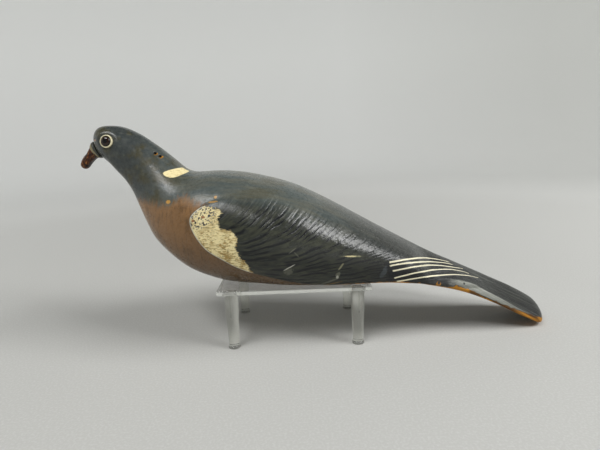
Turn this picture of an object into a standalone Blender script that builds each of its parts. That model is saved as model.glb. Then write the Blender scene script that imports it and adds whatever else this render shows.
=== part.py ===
"""A carved and painted wooden wood-pigeon decoy, resting on a clear acrylic display riser.

The decoy is drawn as a carver's lines plan: a row of ribs, each set across the body from a point on
the back to a point on the keel. A smooth loft through the ribs gives the whole carved form, which
is then parted by thin cuts into head, neck, trunk and tail, with the two wings let into the sides.
The bill and its collar, the glass eyes and their rims, and the riser's plate and legs are separate.

Frame: metres, +Z up, floor at z = 0. The decoy faces -X, its own left side is towards -Y, and the
origin is on the floor under the middle of its length. The lines plan and the constants that end in
_MM are in millimetres, along the body and up from the flat sole.
"""
import math
from typing import NamedTuple

import bmesh
import bpy
import numpy as np
from mathutils import Matrix, Vector

MM = 0.001
GAP = 0.0003                 # between any two pieces that meet

# Display riser: a plate on four tapered round legs
PLATE_LENGTH = 0.1196
PLATE_WIDTH = 0.0959
PLATE_THICKNESS = 0.0040
PLATE_CORNER = 0.0060        # radius of the plate's corners, seen from above
PLATE_EDGE = 0.0005          # polished edges
PLATE_CENTRE_X = -0.0209
DECK_HEIGHT = 0.0510         # top of the plate above the floor
LEG_SPACING_X = 0.1000
LEG_SPACING_Y = 0.0743
LEG_TOP_RADIUS = 0.0056
LEG_FOOT_RADIUS = 0.00415
LEG_SIDES = 18

SOLE_HEIGHT = DECK_HEIGHT + GAP
PLAN_MIDDLE_MM = -3.1        # the middle of the decoy's length on the lines plan


class Rib(NamedTuple):
    """One cross-section of the carving, in millimetres above its flat sole."""

    back_x: float
    back_z: float
    keel_x: float
    keel_z: float
    half_width: float
    rise: float              # height of the widest point, as a share of the rib's height
    flat: float              # half-width of the flat under the keel
    arris: float             # 0 rounds the side into the flat, larger values meet it at a sharper edge
    fullness: float          # exponent of the upper curve: 2 is an ellipse, more is squarer


# The lines plan, from the face to the tail
BODY_RIBS = (
    Rib(-182.5, 116.6, -177.4, 104.4, 6.6, 0.50, 1.4, 0.00, 2.0),
    Rib(-181.5, 121.6, -174.2, 101.8, 10.2, 0.50, 2.0, 0.00, 2.1),
    Rib(-178.3, 126.3, -169.2, 97.4, 13.6, 0.52, 2.4, 0.00, 2.2),
    Rib(-170.0, 128.4, -163.8, 91.0, 16.2, 0.55, 2.8, 0.00, 2.2),
    Rib(-159.0, 127.2, -158.1, 83.6, 17.0, 0.55, 3.2, 0.00, 2.2),
    Rib(-146.0, 121.2, -153.2, 74.6, 17.5, 0.52, 3.6, 0.00, 2.1),
    Rib(-132.0, 111.2, -148.4, 62.6, 20.5, 0.47, 4.4, 0.00, 2.0),
    Rib(-119.0, 99.8, -142.2, 48.6, 27.0, 0.44, 6.0, 0.00, 2.0),
    Rib(-109.5, 91.2, -134.6, 35.6, 34.5, 0.42, 8.0, 0.02, 2.1),
    Rib(-100.0, 88.5, -123.5, 23.8, 41.8, 0.42, 10.8, 0.06, 2.2),
    Rib(-86.0, 88.9, -107.8, 11.8, 48.8, 0.43, 16.5, 0.12, 2.3),
    Rib(-68.0, 87.6, -87.0, 3.6, 54.0, 0.45, 24.3, 0.25, 2.3),
    Rib(-46.0, 83.2, -60.0, 0.0, 57.5, 0.46, 30.0, 0.36, 2.2),
    Rib(-20.0, 74.9, -29.0, 0.0, 58.0, 0.48, 41.0, 0.42, 2.1),
    Rib(10.0, 59.7, 4.0, 0.0, 55.0, 0.50, 43.5, 0.46, 2.0),
    Rib(40.0, 42.1, 38.0, 0.0, 49.0, 0.50, 42.5, 0.50, 2.0),
    Rib(67.0, 26.9, 66.0, -2.2, 42.0, 0.46, 39.0, 0.50, 2.0),
    Rib(95.0, 12.2, 92.5, -8.4, 35.5, 0.40, 33.0, 0.50, 2.0),
    Rib(120.0, 0.1, 116.0, -15.8, 31.0, 0.36, 29.5, 0.50, 2.0),
    Rib(145.0, -11.8, 140.0, -26.4, 29.0, 0.34, 28.0, 0.50, 2.0),
    Rib(167.0, -22.7, 160.5, -37.2, 27.5, 0.34, 26.5, 0.50, 2.0),
    Rib(181.0, -30.8, 175.0, -44.6, 24.8, 0.36, 23.8, 0.50, 2.0),
)
TAIL_ROUND_MM = 14.6         # how far the tail's rounded end runs beyond its last rib
TAIL_HEADING = math.radians(-30)
TAIL_FOCUS = 0.22            # height on the last rib that the rounded end closes to

COLLAR_RIBS = (
    Rib(-183.3, 116.3, -177.9, 103.4, 6.9, 0.50, 2.0, 0.00, 2.0),
    Rib(-185.7, 115.0, -178.6, 102.9, 6.8, 0.50, 2.0, 0.00, 2.0),
    Rib(-186.9, 111.9, -179.5, 103.3, 6.0, 0.50, 2.0, 0.00, 2.0),
)
BILL_RIBS = (
    Rib(-187.2, 111.5, -180.1, 103.4, 5.4, 0.50, 1.4, 0.00, 2.0),
    Rib(-189.4, 108.0, -183.3, 102.4, 5.2, 0.50, 1.2, 0.00, 2.0),
    Rib(-192.8, 104.6, -186.7, 99.7, 4.8, 0.50, 1.0, 0.00, 2.0),
    Rib(-195.4, 100.9, -189.6, 96.3, 4.3, 0.50, 0.8, 0.00, 2.0),
)
BILL_ROUND_MM = 4.5
BILL_HEADING = math.radians(-128)
BILL_FOCUS = 0.45

# How finely the lofts are faceted
BODY_STEPS = (7, 5, 2)       # half a ring: back to widest line, down to the flat, across the flat
BILL_STEPS = (6, 5, 1)
STEPS_PER_RIB = 3
BILL_STEPS_PER_RIB = 2
TIP_STEPS = 5
TIP_REMAINDER = 0.35         # the part of a step that a rounded end leaves flat
LEAST_FLAT = 0.4             # how narrow a shrunk rib's flat may get, as a share of its own

# Thin cuts that part the carving, each through two points (x, z) of its profile
NECK_TOP_CUT_MM = ((-147.0, 122.0), (-153.6, 75.5))
NECK_BASE_CUT_MM = ((-108.5, 91.0), (-135.0, 36.0))
TAIL_CUT_MM = ((137.0, -8.0), (132.0, -23.0))

# Wings: slabs let into the sides, standing a little proud as carved relief
WING_OUTLINE_MM = (
    (-66.0, 75.5), (-80.0, 71.0), (-92.0, 63.0), (-99.0, 54.0), (-97.5, 46.0), (-90.0, 36.5),
    (-76.0, 26.5), (-58.0, 16.5), (-36.0, 9.0), (-8.0, 5.5), (34.0, 4.5), (70.0, 2.5),
    (98.0, -1.5), (118.0, -6.0), (129.0, -8.4), (116.0, -2.6), (92.0, 8.0), (62.0, 23.5),
    (30.0, 40.5), (-4.0, 58.5), (-36.0, 71.0),
)
WING_RELIEF_MM = 1.0
WING_DEPTH_MM = 5.5
WING_RIBS = slice(8 * STEPS_PER_RIB, 20 * STEPS_PER_RIB)     # the ribs that the wings lie between
CORE_SPARE_MM = 6.0          # how far the core behind the wings runs below the keel
CUTTER_REACH = 0.080         # how far the wings' cutters reach, past the decoy's sides

# Glass eyes and the raised rims round them
EYE_CENTRE_MM = (-166.8, 16.4, 115.8)
EYE_TOE_IN = math.radians(8)     # the eyes look a little ahead and up
EYE_TILT_UP = math.radians(10)
SOCKET_DEPTH = 0.0016
GLASS_RADIUS = 0.00375
GLASS_BULGE = 0.0018         # the dome in front of the glass's widest circle
GLASS_BACK = 0.00144         # its depth behind that circle
GLASS_SEAT = 0.00024         # how far that circle stands out of the head
RIM_INNER, RIM_OUTER = 0.00405, 0.0051
RIM_FRONT, RIM_BACK = 0.0004, -0.0013
RIM_ROUND = 0.0004
RIM_TURNS = 24
SOCKET_RADIUS = RIM_OUTER + GAP
SOCKET_SIDES = 32
SOCKET_DRILL_LENGTH = 0.010

SLATE = (0.060, 0.066, 0.064)
COLOURS = {                  # base colour, roughness, transmission
    "head": ((0.055, 0.062, 0.060), 0.42, 0.0),
    "neck": ((0.060, 0.066, 0.058), 0.42, 0.0),
    "trunk": (SLATE, 0.42, 0.0),
    "tail": ((0.048, 0.052, 0.050), 0.40, 0.0),
    "wing": ((0.030, 0.034, 0.032), 0.42, 0.0),
    "bill": ((0.060, 0.022, 0.012), 0.40, 0.0),
    "bill_collar": ((0.045, 0.040, 0.022), 0.50, 0.0),
    "eye": ((0.012, 0.006, 0.003), 0.05, 0.0),
    "eye_rim": ((0.72, 0.64, 0.44), 0.45, 0.0),
    "stand": ((0.92, 0.94, 0.92), 0.05, 0.9),
}


# ---------------------------------------------------------------- lines plan and lofts

def placed(x, y, z):
    """A point of the lines plan, in metres in the decoy's frame."""
    return Vector(((x - PLAN_MIDDLE_MM) * MM, y * MM, z * MM + SOLE_HEIGHT))


def smooth_ribs(ribs, steps):
    """Ribs on a smooth curve through the given ones, with `steps` spans to each pair.

    The curve is level where a value turns or stops changing, so the flat sole stays flat.
    """
    table = np.array(ribs)
    middle = (table[:, 0:2] + table[:, 2:4]) / 2
    run = np.linalg.norm(np.diff(middle, axis=0), axis=1)[:, None]
    slope = np.diff(table, axis=0) / run
    inner = (slope[:-1] * run[1:] + slope[1:] * run[:-1]) / (run[1:] + run[:-1])
    inner[slope[:-1] * slope[1:] <= 0] = 0.0
    first = 1.5 * slope[0] - 0.5 * inner[0]
    last = 1.5 * slope[-1] - 0.5 * inner[-1]
    tangent = np.vstack([first, inner, last])
    fine = []
    for i in range(len(table) - 1):
        for t in np.arange(steps) / steps:
            fine.append((2 * t**3 - 3 * t**2 + 1) * table[i]
                        + (t**3 - 2 * t**2 + t) * run[i] * tangent[i]
                        + (3 * t**2 - 2 * t**3) * table[i + 1]
                        + (t**3 - t**2) * run[i] * tangent[i + 1])
    fine.append(table[-1])
    return [Rib(*row) for row in fine]


def rounded_end(rib, run, heading, focus, steps):
    """Ribs that close a form beyond its last rib with a quarter-ellipse."""
    focus_x = rib.keel_x + (rib.back_x - rib.keel_x) * focus
    focus_z = rib.keel_z + (rib.back_z - rib.keel_z) * focus
    ribs = []
    for k in range(1, steps + 1):
        angle = math.pi / 2 * k / (steps + TIP_REMAINDER)
        share = math.cos(angle)
        dx = math.cos(heading) * math.sin(angle) * run
        dz = math.sin(heading) * math.sin(angle) * run
        ribs.append(rib._replace(
            back_x=focus_x + (rib.back_x - focus_x) * share + dx,
            back_z=focus_z + (rib.back_z - focus_z) * share + dz,
            keel_x=focus_x + (rib.keel_x - focus_x) * share + dx,
            keel_z=focus_z + (rib.keel_z - focus_z) * share + dz,
            half_width=rib.half_width * share,
            flat=rib.flat * share))
    return ribs


def grown(rib, across, above, below):
    """The rib with more wood, in millimetres: at each side, above its back and below its keel."""
    height = math.hypot(rib.back_x - rib.keel_x, rib.back_z - rib.keel_z)
    ux, uz = (rib.back_x - rib.keel_x) / height, (rib.back_z - rib.keel_z) / height
    return rib._replace(
        back_x=rib.back_x + ux * above, back_z=rib.back_z + uz * above,
        keel_x=rib.keel_x - ux * below, keel_z=rib.keel_z - uz * below,
        half_width=rib.half_width + across, flat=max(rib.flat + across, LEAST_FLAT * rib.flat))


def half_section(rib, steps):
    """Points (across, up) of half a rib, from the middle of the back to the middle of the flat."""
    upper, lower, flat = steps
    height = math.hypot(rib.back_x - rib.keel_x, rib.back_z - rib.keel_z)
    widest = rib.rise * height
    points = []
    for k in range(upper):
        angle = math.pi / 2 * (1 - k / upper)
        points.append((rib.half_width * abs(math.cos(angle)) ** (2 / rib.fullness),
                       widest + (height - widest) * math.sin(angle) ** (2 / rib.fullness)))
    for k in range(lower):
        t = k / lower
        across = (1 - t)**2 * rib.half_width + 2 * t * (1 - t) * rib.half_width + t**2 * rib.flat
        points.append((across, (1 - t)**2 * widest + 2 * t * (1 - t) * widest * rib.arris))
    for k in range(flat + 1):
        points.append((rib.flat * (1 - k / flat), 0.0))
    return points


def rib_points(rib, steps):
    """The rib's closed ring of points in space."""
    height = math.hypot(rib.back_x - rib.keel_x, rib.back_z - rib.keel_z)
    ux, uz = (rib.back_x - rib.keel_x) / height, (rib.back_z - rib.keel_z) / height
    half = half_section(rib, steps)
    ring = [(-across, up) for across, up in half] + half[-2:0:-1]
    return [placed(rib.keel_x + ux * up, across, rib.keel_z + uz * up) for across, up in ring]


def loft(name, ribs, steps):
    """A closed solid skinned over the ribs, flat at both ends."""
    mesh = bmesh.new()
    rings = [[mesh.verts.new(point) for point in rib_points(rib, steps)] for rib in ribs]
    for near, far in zip(rings, rings[1:]):
        for k in range(len(near)):
            n = (k + 1) % len(near)
            mesh.faces.new((near[k], near[n], far[n], far[k]))
    mesh.faces.new(rings[0])
    mesh.faces.new(reversed(rings[-1]))
    return finished(name, mesh)


def carving(name):
    """The whole carved form."""
    ribs = smooth_ribs(BODY_RIBS, STEPS_PER_RIB)
    ribs += rounded_end(ribs[-1], TAIL_ROUND_MM, TAIL_HEADING, TAIL_FOCUS, TIP_STEPS)
    return loft(name, ribs, BODY_STEPS)


def body_layer(name, across, above, below):
    """The body between the wings' ends, made larger or narrower, for cutting the wings."""
    ribs = smooth_ribs(BODY_RIBS, STEPS_PER_RIB)[WING_RIBS]
    return loft(name, [grown(rib, across, above, below) for rib in ribs], BODY_STEPS)


# ---------------------------------------------------------------- small modelling helpers

def finished(name, mesh):
    """Make a mesh object of a bmesh, with its faces pointing outwards."""
    bmesh.ops.recalc_face_normals(mesh, faces=mesh.faces)
    if mesh.calc_volume(signed=True) < 0:
        bmesh.ops.reverse_faces(mesh, faces=mesh.faces)
    data = bpy.data.meshes.new(name)
    mesh.to_mesh(data)
    mesh.free()
    piece = bpy.data.objects.new(name, data)
    bpy.context.scene.collection.objects.link(piece)
    return piece


def copied(piece, name):
    """A second object with its own copy of the mesh."""
    twin = piece.copy()
    twin.data = piece.data.copy()
    twin.name = twin.data.name = name
    bpy.context.scene.collection.objects.link(twin)
    return twin


def apply_modifiers(piece):
    """Replace the mesh with what its modifiers make of it."""
    graph = bpy.context.evaluated_depsgraph_get()
    mesh = bpy.data.meshes.new_from_object(piece.evaluated_get(graph))
    piece.modifiers.clear()
    piece.data = mesh


def combine(piece, operation, cutter):
    """Apply a Boolean of `piece` with `cutter`."""
    boolean = piece.modifiers.new(operation.title(), "BOOLEAN")
    boolean.operation = operation
    boolean.object = cutter
    apply_modifiers(piece)


def discard(*pieces):
    """Remove pieces that were only needed to shape others."""
    for piece in pieces:
        bpy.data.objects.remove(piece)


def slice_off(piece, line, keep_front, clearance=GAP / 2):
    """Cut a piece along a plane through a profile line, and keep the side towards -X or +X."""
    (top_x, top_z), (low_x, low_z) = line
    along = Vector((top_x - low_x, 0, top_z - low_z)).normalized()
    normal = Vector((along.z, 0, -along.x))          # towards +X, the tail
    point = placed(top_x, 0, top_z)
    side = -1 if keep_front else 1
    mesh = bmesh.new()
    mesh.from_mesh(piece.data)
    bmesh.ops.bisect_plane(
        mesh, geom=mesh.verts[:] + mesh.edges[:] + mesh.faces[:], dist=1e-7,
        plane_co=point + normal * side * clearance, plane_no=normal * -side, clear_outer=True)
    rim = [edge for edge in mesh.edges if edge.is_boundary]
    bmesh.ops.edgeloop_fill(mesh, edges=rim)
    bmesh.ops.recalc_face_normals(mesh, faces=mesh.faces)
    mesh.to_mesh(piece.data)
    mesh.free()


def shade(piece, angle=math.radians(40)):
    """Shade smooth, and keep real edges sharp."""
    piece.data.shade_smooth()
    piece.data.set_sharp_from_angle(angle=angle)


def paint(piece, key):
    """Give a piece its own Principled material."""
    colour, roughness, transmission = COLOURS[key]
    material = bpy.data.materials.new(piece.name + "_finish")
    material.use_nodes = True
    material.diffuse_color = (*colour, 1.0)
    shader = material.node_tree.nodes["Principled BSDF"]
    shader.inputs["Base Color"].default_value = (*colour, 1.0)
    shader.inputs["Roughness"].default_value = roughness
    shader.inputs["Metallic"].default_value = 0.0
    shader.inputs["Transmission Weight"].default_value = transmission
    piece.data.materials.clear()
    piece.data.materials.append(material)


# ---------------------------------------------------------------- the carving's pieces

def wing_prism(name, side, margin):
    """The wing's outline as a block that reaches out past one side, grown by `margin`."""
    points = [placed(x, 0, z) for x, z in WING_OUTLINE_MM]
    outline = []
    for before, point, after in zip(points[-1:] + points, points, points[1:] + points[:1]):
        arriving, leaving = (point - before).normalized(), (after - point).normalized()
        mitre = (arriving + leaving) / (1 + arriving.dot(leaving))
        outline.append(point + Vector((mitre.z, 0, -mitre.x)) * margin)
    mesh = bmesh.new()
    face = mesh.faces.new([mesh.verts.new(point) for point in outline])
    pushed = bmesh.ops.extrude_face_region(mesh, geom=[face])["geom"]
    corners = [item for item in pushed if isinstance(item, bmesh.types.BMVert)]
    bmesh.ops.translate(mesh, vec=(0, side * CUTTER_REACH, 0), verts=corners)
    return finished(name, mesh)


def make_wing(side, name):
    """One wing: the skin of the body inside the wing's outline, a little proud of it."""
    wing = body_layer(name, WING_RELIEF_MM, WING_RELIEF_MM, 0.0)
    block = wing_prism("wing_block", side, 0.0)
    core = body_layer("wing_core", -WING_DEPTH_MM, 0.0, CORE_SPARE_MM)
    combine(wing, "INTERSECT", block)
    combine(wing, "DIFFERENCE", core)
    discard(block, core)
    return wing


def cut_wing_bed(trunk, side):
    """Sink the bed that one wing lies in."""
    bed = wing_prism("wing_bed", side, GAP)
    core = body_layer("bed_core", -WING_DEPTH_MM - GAP / MM, 0.0, CORE_SPARE_MM)
    combine(bed, "DIFFERENCE", core)
    combine(trunk, "DIFFERENCE", bed)
    discard(bed, core)


def eye_frame(side):
    """The eye's own axes: +Z looks out of the head, with the origin on the head's surface."""
    x, y, z = EYE_CENTRE_MM
    outward = Vector((-math.sin(EYE_TOE_IN), side * math.cos(EYE_TOE_IN) * math.cos(EYE_TILT_UP),
                      math.sin(EYE_TILT_UP))).normalized()
    place = Matrix.Translation(placed(x, side * y, z))
    return place @ outward.to_track_quat("Z", "Y").to_matrix().to_4x4()


def cut_eye_socket(head, side):
    """Drill the shallow socket that one eye and its rim sit in."""
    mesh = bmesh.new()
    bmesh.ops.create_cone(mesh, cap_ends=True, segments=SOCKET_SIDES, radius1=SOCKET_RADIUS,
                          radius2=SOCKET_RADIUS, depth=SOCKET_DRILL_LENGTH)
    bmesh.ops.translate(mesh, vec=(0, 0, SOCKET_DRILL_LENGTH / 2 - SOCKET_DEPTH), verts=mesh.verts)
    mesh.transform(eye_frame(side))
    drill = finished("socket_drill", mesh)
    combine(head, "DIFFERENCE", drill)
    discard(drill)


def make_eye(side, name):
    """A glass eye: a low dome on a shorter back."""
    mesh = bmesh.new()
    bmesh.ops.create_uvsphere(mesh, u_segments=20, v_segments=8, radius=GLASS_RADIUS)
    for vertex in mesh.verts:
        depth = GLASS_BULGE if vertex.co.z > 0 else GLASS_BACK
        vertex.co.z *= depth / GLASS_RADIUS
    bmesh.ops.translate(mesh, vec=(0, 0, GLASS_SEAT), verts=mesh.verts)
    mesh.transform(eye_frame(side))
    eye = finished(name, mesh)
    shade(eye)
    return eye


def make_eye_rim(side, name):
    """The raised ring round an eye, turned from a rounded profile."""
    profile = ((RIM_INNER, RIM_BACK), (RIM_INNER, RIM_FRONT - RIM_ROUND / 2),
               (RIM_INNER + RIM_ROUND / 2, RIM_FRONT), (RIM_OUTER - RIM_ROUND, RIM_FRONT),
               (RIM_OUTER, RIM_FRONT - RIM_ROUND), (RIM_OUTER, RIM_BACK))
    mesh = bmesh.new()
    corners = [mesh.verts.new((across, 0, up)) for across, up in profile]
    for start, end in zip(corners, corners[1:] + corners[:1]):
        mesh.edges.new((start, end))
    bmesh.ops.spin(mesh, geom=mesh.verts[:] + mesh.edges[:], cent=(0, 0, 0), axis=(0, 0, 1),
                   angle=2 * math.pi, steps=RIM_TURNS, use_merge=True)
    mesh.transform(eye_frame(side))
    rim = finished(name, mesh)
    shade(rim, math.radians(60))
    return rim


def make_decoy():
    """Carve the decoy and part it into its named pieces."""
    whole = carving("whole")
    head = copied(whole, "head")
    slice_off(head, NECK_TOP_CUT_MM, keep_front=True)
    neck = copied(whole, "neck")
    slice_off(neck, NECK_TOP_CUT_MM, keep_front=False)
    slice_off(neck, NECK_BASE_CUT_MM, keep_front=True)
    trunk = copied(whole, "trunk")
    slice_off(trunk, NECK_BASE_CUT_MM, keep_front=False)
    slice_off(trunk, TAIL_CUT_MM, keep_front=True)
    tail = copied(whole, "tail")
    slice_off(tail, TAIL_CUT_MM, keep_front=False)
    discard(whole)

    pieces = [(head, "head"), (neck, "neck"), (trunk, "trunk"), (tail, "tail")]
    for side, hand in ((-1, "left"), (1, "right")):
        cut_wing_bed(trunk, side)
        cut_eye_socket(head, side)
        pieces.append((make_wing(side, "wing_" + hand), "wing"))
        pieces.append((make_eye(side, "eye_" + hand), "eye"))
        pieces.append((make_eye_rim(side, "eye_rim_" + hand), "eye_rim"))

    collar = loft("bill_collar", smooth_ribs(COLLAR_RIBS, BILL_STEPS_PER_RIB), BILL_STEPS)
    bill_ribs = smooth_ribs(BILL_RIBS, BILL_STEPS_PER_RIB)
    bill_ribs += rounded_end(bill_ribs[-1], BILL_ROUND_MM, BILL_HEADING, BILL_FOCUS, TIP_STEPS)
    pieces += [(collar, "bill_collar"), (loft("bill", bill_ribs, BILL_STEPS), "bill")]
    for piece, _ in pieces:
        shade(piece)
    return pieces


# ---------------------------------------------------------------- the riser's pieces

def rounded(piece, width, segments, upright_only):
    """Round a piece's upright edges, or the rims of its flat faces."""
    mesh = bmesh.new()
    mesh.from_mesh(piece.data)
    edges = []
    for edge in mesh.edges:
        upright = abs((edge.verts[0].co - edge.verts[1].co).normalized().z) > 0.9
        if upright == upright_only and edge.calc_face_angle(0) > math.radians(30):
            edges.append(edge)
    bmesh.ops.bevel(mesh, geom=edges, offset=width, segments=segments, profile=0.5, affect="EDGES",
                    clamp_overlap=True)
    bmesh.ops.recalc_face_normals(mesh, faces=mesh.faces)
    mesh.to_mesh(piece.data)
    mesh.free()


def make_plate():
    """The riser's flat top with rounded corners and polished edges."""
    mesh = bmesh.new()
    size = Matrix.Diagonal((PLATE_LENGTH, PLATE_WIDTH, PLATE_THICKNESS, 1.0))
    bmesh.ops.create_cube(mesh, size=1.0, matrix=size)
    bmesh.ops.translate(mesh, verts=mesh.verts,
                        vec=(PLATE_CENTRE_X, 0, DECK_HEIGHT - PLATE_THICKNESS / 2))
    plate = finished("stand_plate", mesh)
    rounded(plate, PLATE_CORNER, 8, upright_only=True)
    rounded(plate, PLATE_EDGE, 2, upright_only=False)
    shade(plate)
    return plate


def make_leg(name, sx, sy):
    """One tapered round leg under a corner of the plate."""
    height = DECK_HEIGHT - PLATE_THICKNESS - GAP
    mesh = bmesh.new()
    bmesh.ops.create_cone(mesh, cap_ends=True, segments=LEG_SIDES, radius1=LEG_FOOT_RADIUS,
                          radius2=LEG_TOP_RADIUS, depth=height)
    bmesh.ops.translate(mesh, verts=mesh.verts, vec=(
        PLATE_CENTRE_X + sx * LEG_SPACING_X / 2, sy * LEG_SPACING_Y / 2, height / 2))
    leg = finished(name, mesh)
    rounded(leg, PLATE_EDGE, 2, upright_only=False)
    shade(leg)
    return leg


def make_riser():
    """The plate and its four legs."""
    pieces = [(make_plate(), "stand")]
    for sx, end in ((-1, "head_end"), (1, "tail_end")):
        for sy, hand in ((-1, "left"), (1, "right")):
            pieces.append((make_leg(f"stand_leg_{end}_{hand}", sx, sy), "stand"))
    return pieces


def main():
    for piece in list(bpy.data.objects):
        bpy.data.objects.remove(piece)
    collection = bpy.data.collections.new("wood_pigeon_decoy")
    bpy.context.scene.collection.children.link(collection)
    for piece, key in make_decoy() + make_riser():
        bpy.context.scene.collection.objects.unlink(piece)
        collection.objects.link(piece)
        paint(piece, key)


main()
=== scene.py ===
"""A carved and painted wood-pigeon decoy on a clear acrylic riser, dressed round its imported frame.

One painted skin stands for the carving's head, neck, trunk, tail and wings. The bill, its collar, the
glass eyes, their cream rims and the riser's plate and legs are pieces of their own. Plan sizes that
end in _MM are millimetres along the body and up from the carving's flat sole; the rest is in metres.
"""

import logging
import math
from dataclasses import dataclass
from enum import Enum
from functools import cached_property
from typing import Any, NamedTuple, Sequence

import bmesh
import bpy
import numpy as np
from mathutils import Matrix, Vector, noise


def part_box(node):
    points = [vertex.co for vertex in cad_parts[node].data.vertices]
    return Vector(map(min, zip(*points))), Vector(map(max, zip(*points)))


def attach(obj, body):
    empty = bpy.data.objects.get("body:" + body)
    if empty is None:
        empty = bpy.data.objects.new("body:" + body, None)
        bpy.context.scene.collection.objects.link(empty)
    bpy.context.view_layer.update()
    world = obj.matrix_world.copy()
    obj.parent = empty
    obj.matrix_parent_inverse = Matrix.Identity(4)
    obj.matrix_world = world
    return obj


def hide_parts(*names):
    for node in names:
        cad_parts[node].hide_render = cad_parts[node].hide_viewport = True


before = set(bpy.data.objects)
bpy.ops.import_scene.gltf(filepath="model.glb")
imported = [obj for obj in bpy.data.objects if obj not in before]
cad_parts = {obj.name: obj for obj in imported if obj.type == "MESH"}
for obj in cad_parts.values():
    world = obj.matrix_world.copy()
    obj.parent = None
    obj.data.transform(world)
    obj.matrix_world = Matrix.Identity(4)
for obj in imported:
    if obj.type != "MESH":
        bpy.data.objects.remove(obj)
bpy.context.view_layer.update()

LOG = logging.getLogger("decoy")
MM = 0.001
GAP = 0.0003                                         # the frame's gap between pieces that meet
SOLE_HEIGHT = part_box("stand_plate")[1].z + GAP       # the sole lies on the riser's plate
PLAN_MIDDLE_MM = -3.1                                # the middle of the decoy's length on the plan
BODY = "root"

Path = Sequence[tuple[float, float]]
Piece = bpy.types.Object
Paint = bpy.types.Material
Socket = bpy.types.NodeSocket
Mask = Socket | float                                # what lets a coat through, from 0 to 1
Tone = Socket | str                                  # a colour: a hex value, or one that varies


class Side(Enum):
    """The decoy's own sides. It faces -X, so its left is towards -Y."""

    LEFT = -1
    RIGHT = 1


# ------------------------------------------------------------------ the lines plan

class Rib(NamedTuple):
    """One cross-section of a carved form, in millimetres."""

    back_x: float
    back_z: float
    keel_x: float
    keel_z: float
    half_width: float
    rise: float              # height of the widest point, as a share of the rib's height
    flat: float              # half-width of the flat under the keel
    arris: float             # 0 rounds the side into the flat, more meets it at a sharper edge
    fullness: float          # exponent of the upper curve: 2 is an ellipse, more is squarer
    bevel: float = 0.0       # height of the top of a bevelled side


class Mark(NamedTuple):
    """A small painted or worn place, on the lines plan in millimetres."""

    colour: str                         # its name among the finish's colours
    centre: tuple[float, float, float]
    size: tuple[float, float, float]    # half its length, depth and height
    turn: float = 0.0                   # how far it rises towards the tail, in degrees
    ragged: float = 0.5                 # how uneven its edge is: 0 is an even oval
    strength: float = 1.0


BODY_RIBS = (
    Rib(-182.5, 116.6, -177.4, 104.4, 6.6, 0.5, 1.4, 0.0, 2.0),
    Rib(-181.5, 121.6, -174.2, 101.8, 10.2, 0.5, 2.0, 0.0, 2.1),
    Rib(-178.3, 126.3, -169.2, 97.4, 13.6, 0.52, 2.4, 0.0, 2.2),
    Rib(-170.0, 128.4, -163.8, 91.0, 16.2, 0.55, 2.8, 0.0, 2.2),
    Rib(-159.0, 127.2, -158.1, 83.6, 17.0, 0.55, 3.2, 0.0, 2.2),
    Rib(-146.0, 121.2, -153.2, 74.6, 17.5, 0.52, 3.6, 0.0, 2.1),
    Rib(-132.0, 111.2, -148.4, 62.6, 20.5, 0.47, 4.4, 0.0, 2.0),
    Rib(-119.0, 99.8, -142.2, 48.6, 27.0, 0.44, 6.0, 0.0, 2.0),
    Rib(-109.5, 91.2, -134.6, 35.6, 34.5, 0.42, 8.0, 0.02, 2.1),
    Rib(-100.0, 88.5, -123.5, 23.8, 41.8, 0.42, 10.8, 0.06, 2.2),
    Rib(-86.0, 88.9, -107.8, 11.8, 48.8, 0.43, 16.5, 0.12, 2.3),
    Rib(-68.0, 87.6, -87.0, 3.6, 54.0, 0.45, 24.3, 0.25, 2.3),
    Rib(-46.0, 83.2, -60.0, 0.0, 57.5, 0.46, 30.0, 0.36, 2.2),
    Rib(-20.0, 74.9, -29.0, 0.0, 58.0, 0.48, 41.0, 0.42, 2.1),
    Rib(10.0, 59.7, 4.0, 0.0, 55.0, 0.5, 43.5, 0.46, 2.0),
    Rib(40.0, 42.1, 38.0, 0.0, 49.0, 0.5, 42.5, 0.5, 2.0),
    Rib(67.0, 26.9, 66.0, -2.2, 42.0, 0.46, 39.0, 0.5, 2.0, 0.0),
    Rib(95.0, 12.2, 92.5, -8.4, 35.5, 0.4, 33.0, 0.5, 2.0, 6.0),
    Rib(120.0, 0.1, 116.0, -15.8, 31.0, 0.36, 29.5, 0.5, 2.0, 7.8),
    Rib(145.0, -11.8, 140.0, -26.4, 29.0, 0.34, 28.0, 0.5, 2.0, 5.6),
    Rib(167.0, -22.7, 160.5, -37.2, 27.5, 0.34, 26.5, 0.5, 2.0, 3.9),
    Rib(181.0, -30.8, 175.0, -44.6, 24.8, 0.36, 23.8, 0.5, 2.0, 2.8),
)
COLLAR_RIBS = (
    Rib(-182.3, 116.3, -177.0, 103.6, 7.0, 0.5, 2.0, 0.0, 2.2),
    Rib(-185.3, 115.4, -178.5, 102.8, 7.0, 0.5, 2.0, 0.0, 2.2),
    Rib(-186.0, 114.6, -178.9, 102.7, 6.8, 0.5, 2.0, 0.0, 2.2),
    Rib(-186.7, 112.9, -179.3, 102.9, 6.4, 0.5, 2.0, 0.0, 2.1),
    Rib(-187.0, 111.9, -179.6, 103.2, 5.9, 0.5, 2.0, 0.0, 2.0),
)
BILL_RIBS = (
    Rib(-186.2, 111.9, -179.1, 103.6, 5.4, 0.5, 1.4, 0.0, 2.0),
    Rib(-187.2, 111.5, -180.1, 103.4, 5.4, 0.5, 1.4, 0.0, 2.0),
    Rib(-189.4, 108.0, -183.3, 102.4, 5.2, 0.5, 1.2, 0.0, 2.0),
    Rib(-192.8, 104.6, -186.7, 99.7, 4.8, 0.5, 1.0, 0.0, 2.0),
    Rib(-195.4, 100.9, -189.6, 96.3, 4.3, 0.5, 0.8, 0.0, 2.0),
)
TIP_REMAINDER = 0.35         # the part of a step that a rounded end leaves flat

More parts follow.
